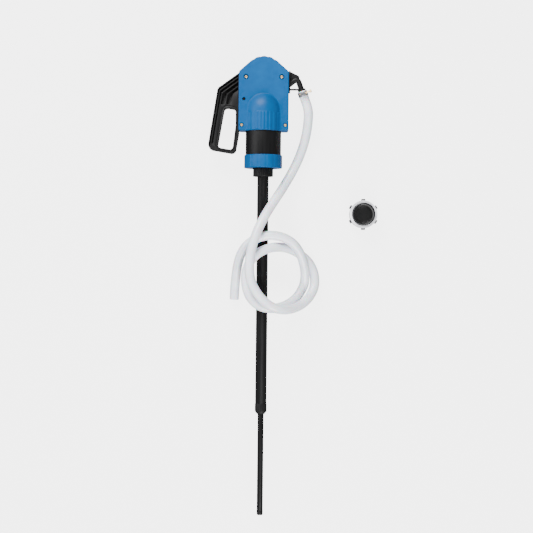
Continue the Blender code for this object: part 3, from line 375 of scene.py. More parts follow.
milky_vinyl = Surface("milky_vinyl", Roughness=0.3, Coat_Weight=0.25, Coat_Roughness=0.2,
                      Subsurface_Weight=0.35, Subsurface_Scale=0.006, IOR=1.45)
cloud = milky_vinyl.noise(35, 4)
milky_vinyl.feed("Base Color", milky_vinyl.ramp(
    cloud, (0.30, (0.73, 0.74, 0.80)), (0.55, (0.80, 0.81, 0.87)), (0.75, (0.85, 0.86, 0.91))
))
haze = milky_vinyl.noise(160, 2)
milky_vinyl.feed("Roughness", 0.24 + haze * 0.16)
milky_vinyl.bump(milky_vinyl.noise(420, 3), 0.10, 0.0004)

hose_start = SPOUT_POINT + SPOUT_DIRECTION * (2 * GAP + CUFF_LENGTH)
bend_start = hose_start + SPOUT_DIRECTION * HOSE_RADIUS
hose_line = smooth_line([bend_start] + [Vector(point) for point in HOSE_ROUTE], 16)
hose_line = [hose_start, hose_start.lerp(bend_start, 0.5)] + spaced(hose_line, HOSE_PACE)
hose_shape = tube(hose_line, HOSE_RADIUS, HOSE_BORE, HOSE_SIDES)
hose = piece("hose", hose_shape, milky_vinyl, "pump_body", ["hose"])
cuff_line = [SPOUT_POINT + SPOUT_DIRECTION * (GAP + CUFF_LENGTH * step / 6) for step in range(7)]
cuff_shape = tube(cuff_line, HOSE_RADIUS, CUFF_BORE, HOSE_SIDES)
piece("hose_cuff", cuff_shape, milky_vinyl, "pump_body", ["hose_cuff"])
hose_length = sum((two - one).length for one, two in zip(hose_line, hose_line[1:]))

# ---- Housing ---------------------------------------------------------------------------
# Two shells of injection-moulded blue plastic, front and rear, with a dome over the pump's
# head, a fluted grip band, a scalloped crown and four counterbored screw holes.

HALF_WIDTH = 0.0647
HALF_DEPTH = 0.028
BOTTOM = -0.038
SHOULDER_Y = 0.115
CROWN_RADIUS = 0.0515
CROWN_Y = 0.1035
CROWN_LOBES = 4
LOBE_DEPTH = 0.0016
EDGE_ROUND = 0.0026
BAND_RADIUS = 0.0504
BULGE_RADIUS = 0.0492
ROOM_RADIUS = 0.0465
BAND_TOP = 0.009
DOME_Y = 0.017
FLUTES = 36
FLUTE_DEPTH = 0.0011
SHELL_WALL = 0.003
SCREW_HOLE = 0.0028
SCREW_SEAT = 0.024
SKIN_OVERLAP = 0.0005
FILLET = 0.003
PAD_HALF = (0.020, 0.030)
RAYS = 600
SHELL_ROWS = 96
PIVOT = (-0.046, 0.101)
UPPER_SCREW = (0.046, 0.101)
LOWER_SCREW = (0.0563, -0.0236)
PADLOCK_HOLE = (-0.0514, 0.0435)
PADLOCK_RADIUS = 0.0043
GATE_MARK = (0.0, 0.0788)
MARK_RISE = 0.0003
SCREW_SPOTS = [
    (*PIVOT, 0.0065),
    (*UPPER_SCREW, 0.0065),
    (-LOWER_SCREW[0], LOWER_SCREW[1], 0.0052),
    (*LOWER_SCREW, 0.0052),
]
ALONG_Y = Matrix.Translation((0, 0, AXIS_HEIGHT)) @ Matrix.Rotation(math.radians(-90), 4, "X")
LIFTED = Matrix.Translation((0, 0, AXIS_HEIGHT))


def rounded(corners, steps=5):
    """A polygon of (x, y, radius) corners, as (x, y) points with an arc at each corner."""
    points = []
    for here, (x, y, radius) in enumerate(corners):
        corner = Vector((x, y))
        before = (Vector(corners[here - 1][:2]) - corner).normalized()
        after = (Vector(corners[(here + 1) % len(corners)][:2]) - corner).normalized()
        half = before.angle(after) / 2
        if radius == 0 or half > math.radians(89.5):
            points.append((x, y))
            continue
        middle = corner + (before + after).normalized() * radius / math.sin(half)
        start = corner + before * radius / math.tan(half) - middle
        end = corner + after * radius / math.tan(half) - middle
        sweep = start.angle_signed(end)
        first = math.atan2(start.y, start.x)
        for step in range(steps + 1):
            angle = first - sweep * step / steps
            points.append((middle.x + radius * math.cos(angle), middle.y + radius * math.sin(angle)))
    return points


def turned(profile, place=ALONG_Y, sides=96):
    """A profile of (radius, height) points turned about its axis. One that starts and ends on
    the axis makes a solid shape, and any other is closed into a ring."""
    angles = [math.tau * turn / sides for turn in range(sides)]
    rings = [[(r * math.cos(a), r * math.sin(a), h) for a in angles] for r, h in profile]
    shape = skin(rings, profile[0][0] > 0)
    bmesh.ops.remove_doubles(shape, verts=shape.verts, dist=1e-7)
    loose = [edge for edge in shape.edges if not edge.link_faces]
    bmesh.ops.delete(shape, geom=loose, context="EDGES")
    bmesh.ops.recalc_face_normals(shape, faces=shape.faces)
    shape.transform(place)
    return shape


def soft_turned(corners, place=ALONG_Y, sides=96, steps=3):
    """A turned ring with rounded edges, from (radius, height, rounding) corners."""
    return turned(rounded(corners, steps), place, sides)


def plate(outline, low, high, place=LIFTED):
    """An outline raised from low to high, in the pump's own space."""
    shape = bmesh.new()
    under = [shape.verts.new((x, y, low)) for x, y in outline]
    over = [shape.verts.new((x, y, high)) for x, y in outline]
    shape.faces.new(under)
    shape.faces.new(over)
    for here in range(len(outline)):
        after = (here + 1) % len(outline)
        shape.faces.new((under[here], under[after], over[after], over[here]))
    bmesh.ops.recalc_face_normals(shape, faces=shape.faces)
    shape.transform(place)
    return shape


def block(low, high, place=LIFTED):
    """A box between two corners."""
    outline = [(low[0], low[1]), (high[0], low[1]), (high[0], high[1]), (low[0], high[1])]
    return plate(outline, low[2], high[2], place)


def post(x, y, radius, low, high, sides=48):
    """A round post that stands along Z."""
    profile = [(0, low), (radius, low), (radius, high), (0, high)]
    return turned(profile, Matrix.Translation((x, y, AXIS_HEIGHT)), sides)


def raw(shape):
    """A bare object for a Boolean, with all its faces turned outwards."""
    mesh = bpy.data.meshes.new("raw")
    bmesh.ops.recalc_face_normals(shape, faces=shape.faces)
    if shape.calc_volume(signed=True) < 0:
        bmesh.ops.reverse_faces(shape, faces=shape.faces)
    shape.to_mesh(mesh)
    shape.free()
    made = bpy.data.objects.new("raw", mesh)
    bpy.context.scene.collection.objects.link(made)
    return made


def baked(worked, helpers=()):
    """The mesh that an object's modifiers make. The object and its helpers are removed."""
    graph = bpy.context.evaluated_depsgraph_get()
    mesh = bpy.data.meshes.new_from_object(worked.evaluated_get(graph), depsgraph=graph)
    for old in (worked, *helpers):
        bpy.data.objects.remove(old, do_unlink=True)
    return mesh


def carved(shape, steps, bevel=0.0, segments=2):
    """Joins to and cuts from a shape in order, then rounds its edges."""
    worked = raw(shape)
    helpers = []
    for operation, other in steps:
        helpers.append(raw(other))
        tool = worked.modifiers.new("step", "BOOLEAN")
        tool.operation = operation
        tool.object = helpers[-1]
        tool.solver = "MANIFOLD"
    if bevel:
        rounding = worked.modifiers.new("edges", "BEVEL")
        rounding.width = bevel
        rounding.segments = segments
        rounding.limit_method = "ANGLE"
        rounding.angle_limit = math.radians(38)
    return baked(worked, helpers)


shoulder_rise = SHOULDER_Y - CROWN_Y
SHOULDER_ANGLE = math.atan2(shoulder_rise, HALF_WIDTH) + math.acos(
    CROWN_RADIUS / math.hypot(HALF_WIDTH, shoulder_rise)
)


def housing_outline(inset, lobe_depth, corner):
    """The housing's front outline: flat sides, sloping shoulders and a lobed crown."""
    half = HALF_WIDTH - inset
    radius = CROWN_RADIUS - inset
    rise = (radius - half * math.cos(SHOULDER_ANGLE)) / math.sin(SHOULDER_ANGLE)
    bottom = BOTTOM + inset
    outline = [(-half, bottom, corner), (half, bottom, corner), (half, CROWN_Y + rise, 2 * corner)]
    steps = CROWN_LOBES * 14
    for step in range(steps + 1):
        angle = SHOULDER_ANGLE + (math.pi - 2 * SHOULDER_ANGLE) * step / steps
        dip = lobe_depth * (1 - abs(math.cos(math.pi * CROWN_LOBES * step / steps)))
        reach = radius - dip
        outline.append((reach * math.cos(angle), CROWN_Y + reach * math.sin(angle), 0))
    outline.append((-half, CROWN_Y + rise, 2 * corner))
    return rounded(outline)


def soft_max(one, two, blend):
    """The larger of two heights, with a fillet where they meet."""
    near = np.maximum(blend - np.abs(one - two), 0)
    return np.maximum(one, two) + near * near / (4 * blend)


def housing_height(x, y, inset, side):
    """How far the housing's skin stands off the split plane."""
    angle = np.arctan2(x, AXIS_HEIGHT)
    flute = FLUTE_DEPTH * (1 - np.abs(np.cos(FLUTES * angle / 2)))
    band = BAND_RADIUS - flute
    into = np.clip((y - BAND_TOP) / (BAND_RADIUS - BULGE_RADIUS), 0, 1)
    radius = band + (BULGE_RADIUS - band) * into
    past = np.maximum(y - DOME_Y, 0)
    radius = np.sqrt(np.maximum(radius**2 - past**2, 0))
    bulge = np.sqrt(np.maximum(radius**2 - x**2, 0))
    height = soft_max(np.full_like(x, HALF_DEPTH), bulge, FILLET)
    if side < 0:
        outside = np.maximum(np.abs(x) - PAD_HALF[0], np.abs(y) - PAD_HALF[1])
        pad = AXIS_HEIGHT - 2 * np.maximum(outside, 0)
        height = np.minimum(np.maximum(height, pad), AXIS_HEIGHT)
    inner = np.clip(EDGE_ROUND - inset, 0, EDGE_ROUND)
    return height - (EDGE_ROUND - np.sqrt(EDGE_ROUND**2 - inner**2))


def housing_skin(side):
    """The outside of one shell, as rows that follow the outline in to the middle."""
    outline = np.array(housing_outline(0, LOBE_DEPTH, 0.004))
    ends = np.roll(outline, -1, axis=0)
    centre = np.array((0.0, 0.05))
    angles = np.arange(RAYS) * math.tau / RAYS
    rays = np.stack((np.cos(angles), np.sin(angles)), axis=1)
    edge = ends - outline
    reach = np.full(RAYS, 1.0)
    for start, run in zip(outline, edge):
        cross = rays[:, 0] * run[1] - rays[:, 1] * run[0]
        cross = np.where(np.abs(cross) < 1e-12, 1e-12, cross)
        off = start - centre
        length = (off[0] * run[1] - off[1] * run[0]) / cross
        share = (off[0] * rays[:, 1] - off[1] * rays[:, 0]) / cross
        hit = (share >= -1e-9) & (share <= 1 + 1e-9) & (length > 0)
        reach = np.where(hit, np.minimum(reach, length), reach)
    near = EDGE_ROUND * np.array([0.0, 0.03, 0.10, 0.22, 0.42, 0.70, 1.0])
    rows = [reach - d for d in near]
    rows += [(reach - EDGE_ROUND) * (1 - k / SHELL_ROWS) for k in range(1, SHELL_ROWS)]
    flat = np.stack([centre + rays * row[:, None] for row in rows]).reshape(-1, 2)
    inset = np.full(len(flat), 1.0)
    for start, run in zip(outline, edge):
        off = flat - start
        share = np.clip((off @ run) / (run @ run), 0, 1)
        inset = np.minimum(inset, np.linalg.norm(off - share[:, None] * run, axis=1))
    inset[:RAYS] = 0
    height = housing_height(flat[:, 0], flat[:, 1], inset, side)
    points = np.column_stack((flat, side * height + AXIS_HEIGHT)).reshape(len(rows), RAYS, 3)
    foot = points[0].copy()
    foot[:, 2] = AXIS_HEIGHT + side * GAP / 2
    shape = skin([[tuple(p) for p in foot]] + [[tuple(p) for p in row] for row in points], False)
    shape.verts.ensure_lookup_table()
    shape.faces.new(shape.verts[:RAYS])
    shape.faces.new(shape.verts[-RAYS:])
    return shape


def spread(side, near, far):
    """The two heights on one side of the split plane, lowest first."""
    return sorted((side * near, side * far))


def dome_points(radius, start, end, steps=12):
    """Profile points on the dome, between two angles above the barrel."""
    angles = [start + (end - start) * step / steps for step in range(steps + 1)]
    return [(max(0, radius * math.cos(a)), DOME_Y + radius * math.sin(a)) for a in angles]


def housing_shell(side):
    """One shell: its skin, less the rooms, slots and holes inside it."""
    room = [(0, BOTTOM - 0.02), (ROOM_RADIUS, BOTTOM - 0.02)]
    room += dome_points(ROOM_RADIUS, 0, math.pi / 2)
    inner_face = HALF_DEPTH - SHELL_WALL
    post_end = inner_face + SKIN_OVERLAP
    foot_posts = spread(side, GAP / 2, post_end)
    cavity = housing_outline(SHELL_WALL, 0, 0.002)
    lever_slot = [(-0.08, -0.05), (-0.0612, -0.05), (-0.0612, 0.06), (-0.05, 0.06), (-0.05, 0.14),
                  (-0.08, 0.14)]
    steps = [
        ("DIFFERENCE", plate(cavity, *spread(side, -0.001, inner_face))),
        ("DIFFERENCE", turned(room)),
        ("UNION", post(*PIVOT, 0.012, *spread(side, 0.0204, post_end))),
        ("UNION", post(*UPPER_SCREW, 0.007, *spread(side, 0.0026, post_end))),
        ("UNION", post(-LOWER_SCREW[0], LOWER_SCREW[1], 0.006, *foot_posts)),
        ("UNION", post(*LOWER_SCREW, 0.006, *foot_posts)),
        ("DIFFERENCE", plate(lever_slot, -0.0172, 0.0172)),
        ("DIFFERENCE", block((0.06, 0.066, -0.008), (0.07, 0.112, 0.008))),
        ("DIFFERENCE", post(*PADLOCK_HOLE, PADLOCK_RADIUS, *spread(side, 0.02, 0.032))),
    ]
    if side > 0:
        mark = post(*GATE_MARK, 0.0013, HALF_DEPTH - SKIN_OVERLAP, HALF_DEPTH + MARK_RISE)
        steps.append(("UNION", mark))
    for x, y, pocket in SCREW_SPOTS:
        steps.append(("DIFFERENCE", post(x, y, SCREW_HOLE, *spread(side, -0.001, 0.032), 24)))
        steps.append(("DIFFERENCE", post(x, y, pocket, *spread(side, SCREW_SEAT, 0.032))))
    return carved(housing_skin(side), steps)


blue_moulding = Surface("blue_moulding", Roughness=0.42, Specular_IOR_Level=0.13)
flow = blue_moulding.noise(9, 4, 0.55)
mottle = blue_moulding.noise(60, 3, 0.6)
blue_moulding.feed("Base Color", blue_moulding.ramp(
    flow * 0.7 + mottle * 0.3,
    (0.30, (0.0012, 0.047, 0.150)), (0.55, (0.0020, 0.058, 0.177)), (0.80, (0.004, 0.074, 0.215))
))
blue_moulding.feed("Roughness", 0.34 + mottle * 0.2)
spark = blue_moulding.noise(1400, 2, 0.6)
blue_moulding.bump(spark * 0.6 + blue_moulding.noise(300, 2) * 0.4, 0.18, 0.0003)

piece("front_housing", housing_shell(1), blue_moulding, "pump_body", ["front_shell"],
      32)
piece("rear_housing", housing_shell(-1), blue_moulding, "pump_body", ["rear_shell"],
      32)

# ---- Housing screws --------------------------------------------------------------------
# Four yellow-passivated steel screws with cross recesses in the front pockets, each held by
# a hexagonal steel nut in the rear pocket. The upper left one is also the lever's pivot.


class Maker(Graph):
    """A geometry tree with named inputs. It ends in Realize Instances and Set Material."""

    def __init__(self, name, inputs):
        tree = bpy.data.node_groups.new(name, "GeometryNodeTree")
        super().__init__(tree)
        socket = tree.interface.new_socket
        socket("Geometry", in_out="INPUT", socket_type="NodeSocketGeometry")
        for title, value in inputs.items():
            kind = "NodeSocketInt" if isinstance(value, int) else "NodeSocketFloat"
            socket(title, in_out="INPUT", socket_type=kind).default_value = value
        socket("Geometry", in_out="OUTPUT", socket_type="NodeSocketGeometry")
        entry = tree.nodes.new("NodeGroupInput")
        self.given = {title: Wire(self, entry.outputs[title]) for title in ("Geometry", *inputs)}

    def end(self, shape, surface):
        """Finishes the tree with one material for all of it."""
        real = self.node("GeometryNodeRealizeInstances", {}, {"Geometry": shape})
        values = {"Geometry": real, "Material": surface.material}
        done = self.node("GeometryNodeSetMaterial", {}, values)
        leave = self.tree.nodes.new("NodeGroupOutput")
        self.tree.links.new(done.socket, leave.inputs["Geometry"])
        return self

    def joined(self, *shapes):
        """Several shapes as one."""
        made = self.tree.nodes.new("GeometryNodeJoinGeometry")
        for shape in reversed(shapes):
            self.tree.links.new(shape.socket, made.inputs["Geometry"])
        return Wire(self, made.outputs["Geometry"])

    def run(self, shape, sizes, place=None):
        """The mesh that the tree makes of a shape, with its inputs set by identifier."""
        worked = raw(shape)
        tool = worked.modifiers.new("make", "NODES")
        tool.node_group = self.tree
        titles = {item.name: item.identifier for item in self.tree.interface.items_tree
                  if item.in_out == "INPUT"}
        for title, value in sizes.items():
            tool[titles[title]] = value
        mesh = baked(worked)
        if place:
            mesh.transform(place)
        return mesh


def points_at(spots):
    """A shape of loose points."""
    shape = bmesh.new()
    for spot in spots:
        shape.verts.new(spot)
    return shape


yellow_steel = Surface("yellow_steel", Metallic=0.9, Roughness=0.3)
tarnish = yellow_steel.noise(500, 3)
yellow_steel.feed("Base Color", yellow_steel.ramp(
    tarnish, (0.3, (0.60, 0.42, 0.20)), (0.6, (0.80, 0.62, 0.36)), (0.8, (0.86, 0.74, 0.52))
))
yellow_steel.feed("Roughness", 0.26 + tarnish * 0.2)
yellow_steel.bump(yellow_steel.noise(2500, 2), 0.1, 0.0001)

bright_steel = Surface("bright_steel", Metallic=1.0, Roughness=0.28)
polish = bright_steel.noise(900, 2)
bright_steel.feed("Base Color", bright_steel.ramp(
    polish, (0.3, (0.34, 0.35, 0.38)), (0.7, (0.48, 0.49, 0.52))
))
bright_steel.feed("Roughness", 0.22 + polish * 0.18)
bright_steel.bump(bright_steel.noise(3000, 2), 0.08, 0.0001)

screw_maker = Maker("screws", {"Head radius": 0.0042, "Head height": 0.0024, "Shank": 0.0025,
                               "Length": 0.05})
given = screw_maker.given
head = screw_maker.node("GeometryNodeMeshCylinder", {}, {
    "Vertices": 32, "Radius": given["Head radius"], "Depth": given["Head height"]}, "Mesh")
crown = screw_maker.node("GeometryNodeMeshCone", {}, {
    "Vertices": 32, "Radius Bottom": given["Head radius"], "Radius Top": given["Head radius"] * 0.8,
    "Depth": given["Head height"] * 0.25}, "Mesh")
crown = screw_maker.node("GeometryNodeTransform", {}, {
    "Geometry": crown, "Translation": (0, 0, 0.0012)})
slot_one = screw_maker.node("GeometryNodeMeshCube", {}, {"Size": (0.0044, 0.0009, 0.0030)}, "Mesh")
slot_two = screw_maker.node("GeometryNodeMeshCube", {}, {"Size": (0.0009, 0.0044, 0.0030)}, "Mesh")
slots = screw_maker.node("GeometryNodeTransform", {}, {
    "Geometry": screw_maker.joined(slot_one, slot_two), "Translation": (0, 0, 0.0018)})
cut_head = screw_maker.node("GeometryNodeMeshBoolean", {
    "operation": "DIFFERENCE", "solver": "EXACT"}, {
    "Mesh 1": screw_maker.joined(head, crown), "Mesh 2": slots,
    "Self Intersection": True}, "Mesh")
shank = screw_maker.node("GeometryNodeMeshCylinder", {}, {
    "Vertices": 20, "Radius": given["Shank"], "Depth": given["Length"]}, "Mesh")
shank = screw_maker.node("GeometryNodeTransform", {}, {
    "Geometry": shank, "Translation": (0, 0, -0.0262)})
screws = screw_maker.node("GeometryNodeInstanceOnPoints", {}, {
    "Points": given["Geometry"], "Instance": screw_maker.joined(cut_head, shank)})
screw_maker.end(screws, yellow_steel)
screw_points = points_at([(x, y, AXIS_HEIGHT + 0.0256) for x, y, _ in SCREW_SPOTS])
screw_mesh = screw_maker.run(screw_points, {"Head radius": 0.0036, "Length": 0.0500})
piece("housing_screws", screw_mesh, yellow_steel, "pump_body",
      [f"shell_screw_{index}" for index in (1, 2, 3, 4)], 30)

nut_maker = Maker("nuts", {"Across corners": 0.0092, "Height": 0.0036})
given = nut_maker.given
nut = nut_maker.node("GeometryNodeMeshCylinder", {}, {
    "Vertices": 6, "Radius": given["Across corners"] / 2, "Depth": given["Height"]}, "Mesh")
hole = nut_maker.node("GeometryNodeMeshCylinder", {}, {
    "Vertices": 24, "Radius": 0.0027, "Depth": given["Height"] * 2}, "Mesh")
nut = nut_maker.node("GeometryNodeMeshBoolean", {"operation": "DIFFERENCE"}, {
    "Mesh 1": nut, "Mesh 2": hole}, "Mesh")
nuts = nut_maker.node("GeometryNodeInstanceOnPoints", {}, {
    "Points": given["Geometry"], "Instance": nut})
nut_maker.end(nuts, bright_steel)
nut_points = points_at([(x, y, AXIS_HEIGHT - 0.0261) for x, y, _ in SCREW_SPOTS])
piece("housing_nuts", nut_maker.run(nut_points, {"Height": 0.0036}), bright_steel, "pump_body",
      [f"shell_nut_{index}" for index in (1, 2, 3, 4)], 30)

# ---- Lever -----------------------------------------------------------------------------
# One moulding of glass-filled black nylon: hub, crank fork, arm with deep ribs that run down
# the outer side, and a grip opening for four fingers.

LEVER_CORNERS = [
    (-0.0578, 0.1172, 0),
    (-0.1200, 0.0720, 0.014),
    (-0.1450, -0.0863, 0.016),
    (-0.0720, -0.0984, 0.012),
    (-0.0629, -0.0440, 0.010),
    (-0.0629, 0.0080, 0.006),
    (-0.0475, 0.0310, 0.004),
    (-0.0385, 0.0550, 0.010),
    (-0.0300, 0.0900, 0),
]
GRIP_CORNERS = [
    (-0.1005, 0.0223, 0.009),
    (-0.0724, 0.0180, 0.007),
    (-0.0723, -0.0240, 0.020),
    (-0.0800, -0.0880, 0.008),
    (-0.1185, -0.0815, 0.009),
]
CHANNELS = [
    (0.0030, 0.0072, 0.0026, 0.0056, -0.0760),
    (0.0094, 0.0156, 0.0080, 0.0124, -0.0720),
    (0.0180, 0.0260, 0.0150, 0.0262, 0.0300),
    (0.0285, 0.0356, 0.0290, 0.0415, 0.0300),
]
LEVER_HALF = 0.015
LEVER_WEB_HALF = 0.003
GROOVE_DEPTH = 0.0016
HUB_RADIUS = 0.020
FORK_LENGTH = 0.0635
FORK_HALF = 0.010
FORK_INNER = 0.008
FORK_OUTER = 0.013
SLOT_START = 0.0460
SLOT_END = 0.0573
SLOT_HALF = 0.0048
PAST = 0.02
FORK_ANGLE = math.radians(28)


def edge_offset(first, second, offset):
    """A line along two lever corners, moved into the lever: (point, direction)."""
    start = Vector(LEVER_CORNERS[first][:2])
    heading = (Vector(LEVER_CORNERS[second][:2]) - start).normalized()
    return start + Vector((-heading.y, heading.x)) * offset, heading


def crossing(one, other):
    """Where two (point, direction) lines cross."""
    (here, along_one), (there, along_other) = one, other
    cross = along_one.x * along_other.y - along_one.y * along_other.x
    reach = ((there.x - here.x) * along_other.y - (there.y - here.y) * along_other.x) / cross
    return here + along_one * reach


def channel_outline(top_start, top_end, outer_start, outer_end, foot):
    """One recess: along the top edge, round the elbow and down the outer edge."""
    inner_stop = (Vector((-0.066, 0)), Vector((0, 1)))
    floor_line = (Vector((0, foot)), Vector((1, 0)))
    high = edge_offset(0, 1, top_start)
    low = edge_offset(0, 1, top_end)
    out = edge_offset(1, 2, outer_start)
    back = edge_offset(1, 2, outer_end)
    return rounded([
        (*crossing(high, inner_stop), 0.001),
        (*crossing(high, out), 0.008),
        (*crossing(out, floor_line), 0.001),
        (*crossing(back, floor_line), 0.001),
        (*crossing(low, back), 0.003),
        (*crossing(low, inner_stop), 0.001),
    ], 4)


def round_bar(length, half, start=0.0, sides=24):
    """The outline of a bar along X with a round far end."""
    tip = length - half
    arc = [-math.pi / 2 + math.pi * step / sides for step in range(sides + 1)]
    outline = [(start, -half)] + [(tip + half * math.cos(a), half * math.sin(a)) for a in arc]
    return outline + [(start, half)]


def grown(outline, by):
    """A clockwise outline moved outwards."""
    points = [Vector(point) for point in outline]
    moved = []
    for here, point in enumerate(points):
        heading = (points[(here + 1) % len(points)] - points[here - 1]).normalized()
        moved.append(point + Vector((-heading.y, heading.x)) * by)
    return moved


def rim_groove(outline, near, far, low, high):
    """A closed groove that follows an outline."""
    around = [(grown(outline, near), low), (grown(outline, near), high),
              (grown(outline, far), high), (grown(outline, far), low)]
    shape = skin([[(*point, level) for point in ring] for ring, level in around], True)
    bmesh.ops.recalc_face_normals(shape, faces=shape.faces)
    shape.transform(LIFTED)
    return shape


fork_place = Matrix.Translation((*PIVOT, AXIS_HEIGHT)) @ Matrix.Rotation(FORK_ANGLE, 4, "Z")
fork_cheek = round_bar(FORK_LENGTH, FORK_HALF, 0.008)
grip_outline = rounded(GRIP_CORNERS, 8)
lever_steps = [
    ("UNION", post(*PIVOT, HUB_RADIUS, -LEVER_HALF, LEVER_HALF, 64)),
    ("UNION", post(*PIVOT, 0.014, -0.0201, 0.0201, 64)),
    ("UNION", plate(fork_cheek, FORK_INNER, FORK_OUTER, fork_place)),
    ("UNION", plate(fork_cheek, -FORK_OUTER, -FORK_INNER, fork_place)),
    ("DIFFERENCE", plate(grip_outline, -PAST, PAST)),
]
for channel in CHANNELS:
    for side in (1, -1):
        recess = plate(channel_outline(*channel), *spread(side, LEVER_WEB_HALF, PAST))
        lever_steps.append(("DIFFERENCE", recess))
for side in (1, -1):
    deep = spread(side, LEVER_HALF - GROOVE_DEPTH, LEVER_HALF + 0.002)
    lever_steps.append(("DIFFERENCE", rim_groove(grip_outline, 0.0046, 0.0060, *deep)))
fork_slot = round_bar(SLOT_END, SLOT_HALF, SLOT_START)
lever_steps += [
    ("DIFFERENCE", post(*PIVOT, 0.0073, -0.03, 0.03)),
    ("DIFFERENCE", plate(fork_slot, -PAST, PAST, fork_place)),
    ("DIFFERENCE", post(*PADLOCK_HOLE, PADLOCK_RADIUS, -PAST, PAST)),
]
lever_mesh = carved(plate(rounded(LEVER_CORNERS, 8), -LEVER_HALF, LEVER_HALF), lever_steps,
                    0.0008, 2)

black_nylon = Surface("black_nylon", Roughness=0.45, Specular_IOR_Level=0.22)
glass_flow = black_nylon.noise(30, 4, where=black_nylon.stretched((3.0, 0.7, 3.0)))
black_nylon.feed("Base Color", black_nylon.ramp(
    glass_flow, (0.3, (0.0016, 0.0016, 0.0018)), (0.7, (0.0034, 0.0034, 0.0038))
))
grain = black_nylon.noise(900, 3, 0.6)
black_nylon.feed("Roughness", 0.38 + grain * 0.25)
black_nylon.bump(grain, 0.2, 0.0003)
piece("lever", lever_mesh, black_nylon, "lever_body", ["lever"], 40)

# ---- Pump head and spout ---------------------------------------------------------------
# Black moulding that closes the barrel under the blue dome. Its duct leaves through the
# right side, turns down at a tight elbow and ends in the hose barb; a thin web stiffens it.

DUCT_RADIUS = 0.00725
DUCT_BORE = 0.00475
WEB_HALF = 0.0023
BARB_LENGTH = 0.0265
FLANGE_RADIUS = 0.0103
BARB_RADIUS = 0.0093
BARREL_RADIUS = 0.0461
PLUG_RADIUS = 0.0421


def along_axis(direction, start):
    """The matrix that lays a turned shape's own axis along a direction."""
    turn = Vector((0, 0, 1)).rotation_difference(Vector(direction))
    return Matrix.Translation(Vector(start)) @ turn.to_matrix().to_4x4()


def bar(line, radius, sides=40):
    """A round solid bar along a line."""
    around = [math.tau * turn / sides for turn in range(sides)]
    rings = []
    for here, point in enumerate(line):
        before = point - line[here - 1] if here else None
        after = line[here + 1] - point if here + 1 < len(line) else None
        heading = ((before or after).normalized() + (after or before).normalized()).normalized()
        side = Vector((-heading.y, heading.x, 0))
        up = Vector((0, 0, 1))
        rings.append([point + side * radius * math.cos(a) + up * radius * math.sin(a)
                      for a in around])
    shape = skin(rings, False)
    shape.verts.ensure_lookup_table()
    shape.faces.new(shape.verts[:sides])
    shape.faces.new(shape.verts[-sides:])
    bmesh.ops.recalc_face_normals(shape, faces=shape.faces)
    return shape


duct_slope = math.atan2(0.0185, 0.0231)
duct_rise = Vector((math.cos(duct_slope), math.sin(duct_slope), 0))
duct_start = Vector((0.020, 0.0477, AXIS_HEIGHT))
corner_point = crossing((duct_start.xy, duct_rise.xy), (SPOUT_POINT.xy, SPOUT_DIRECTION.xy))
duct_line = [Vector((*point, AXIS_HEIGHT)) for point in rounded(
    [(*duct_start.xy, 0), (*corner_point, 0.008), (*SPOUT_POINT.xy, 0)], 14)]
bore_line = [duct_start - duct_rise * 0.005, *duct_line[1:-1],
             SPOUT_POINT + SPOUT_DIRECTION * (BARB_LENGTH + 0.002)]

head_profile = [(0.0385, 0.004), (PLUG_RADIUS, 0.004), (PLUG_RADIUS, 0.0067), (0.040, 0.0067)]
head_profile += [(0.040, 0.0103), (PLUG_RADIUS, 0.0103), (PLUG_RADIUS, 0.0143), (BARREL_RADIUS, 0.0143)]
head_profile += dome_points(BARREL_RADIUS, 0, math.acos(0.0246 / BARREL_RADIUS))
head_profile += [(0.009, 0.056), (0.009, 0.048), (0.0053, 0.048), (0.0053, 0.044)]
head_profile += [(0.014, 0.044), (0.014, 0.051)]
head_profile += dome_points(0.042, math.acos(0.02466 / 0.042), 0) + [(0.0385, 0.0143)]
web_outline = [(0.040, 0.068, 0), (0.0383, 0.098, 0.003), (0.041, 0.106, 0.003),
               (0.046, 0.109, 0.003), (0.052, 0.1088, 0), (0.061, 0.1113, 0), (0.065, 0.1113, 0),
               (0.065, 0.1195, 0), (0.0955, 0.1050, 0.006), (0.088, 0.095, 0), (0.070, 0.084, 0)]
barb_profile = [(0, -0.0052), (FLANGE_RADIUS - 0.0006, -0.0052), (FLANGE_RADIUS, -0.0046)]
barb_profile += [(FLANGE_RADIUS, -0.0004), (FLANGE_RADIUS - 0.0004, 0), (BARB_RADIUS - 0.001, 0)]
for step in range(5):
    foot = 0.001 + step * 0.005
    barb_profile += [(BARB_RADIUS, foot), (BARB_RADIUS - 0.0011, foot + 0.0045)]
barb_profile += [(BARB_RADIUS - 0.0015, BARB_LENGTH), (0, BARB_LENGTH)]
spout_place = along_axis(SPOUT_DIRECTION, SPOUT_POINT)
head_steps = [
    ("UNION", bar(duct_line, DUCT_RADIUS)),
    ("UNION", plate(rounded(web_outline, 4), -WEB_HALF, WEB_HALF)),
    ("UNION", block((0.065, 0.063, -0.011), (0.0683, 0.119, 0.011))),
    ("UNION", block((0.066, 0.0693, -WEB_HALF), (0.095, 0.0737, WEB_HALF))),
    ("UNION", turned(barb_profile, spout_place, 48)),
    ("DIFFERENCE", bar(bore_line, DUCT_BORE)),
    ("DIFFERENCE", post(*UPPER_SCREW, SCREW_HOLE, -0.01, 0.01, 24)),
]
piece("outlet_head", carved(turned(head_profile), head_steps), black_nylon, "pump_body",
      ["outlet_head"], 32)

# ---- Barrel ----------------------------------------------------------------------------
# Thick-walled cylinder of satin black plastic, turned smooth, and the end plug below it
# that carries the foot valve's seat and the neck for the suction tube.

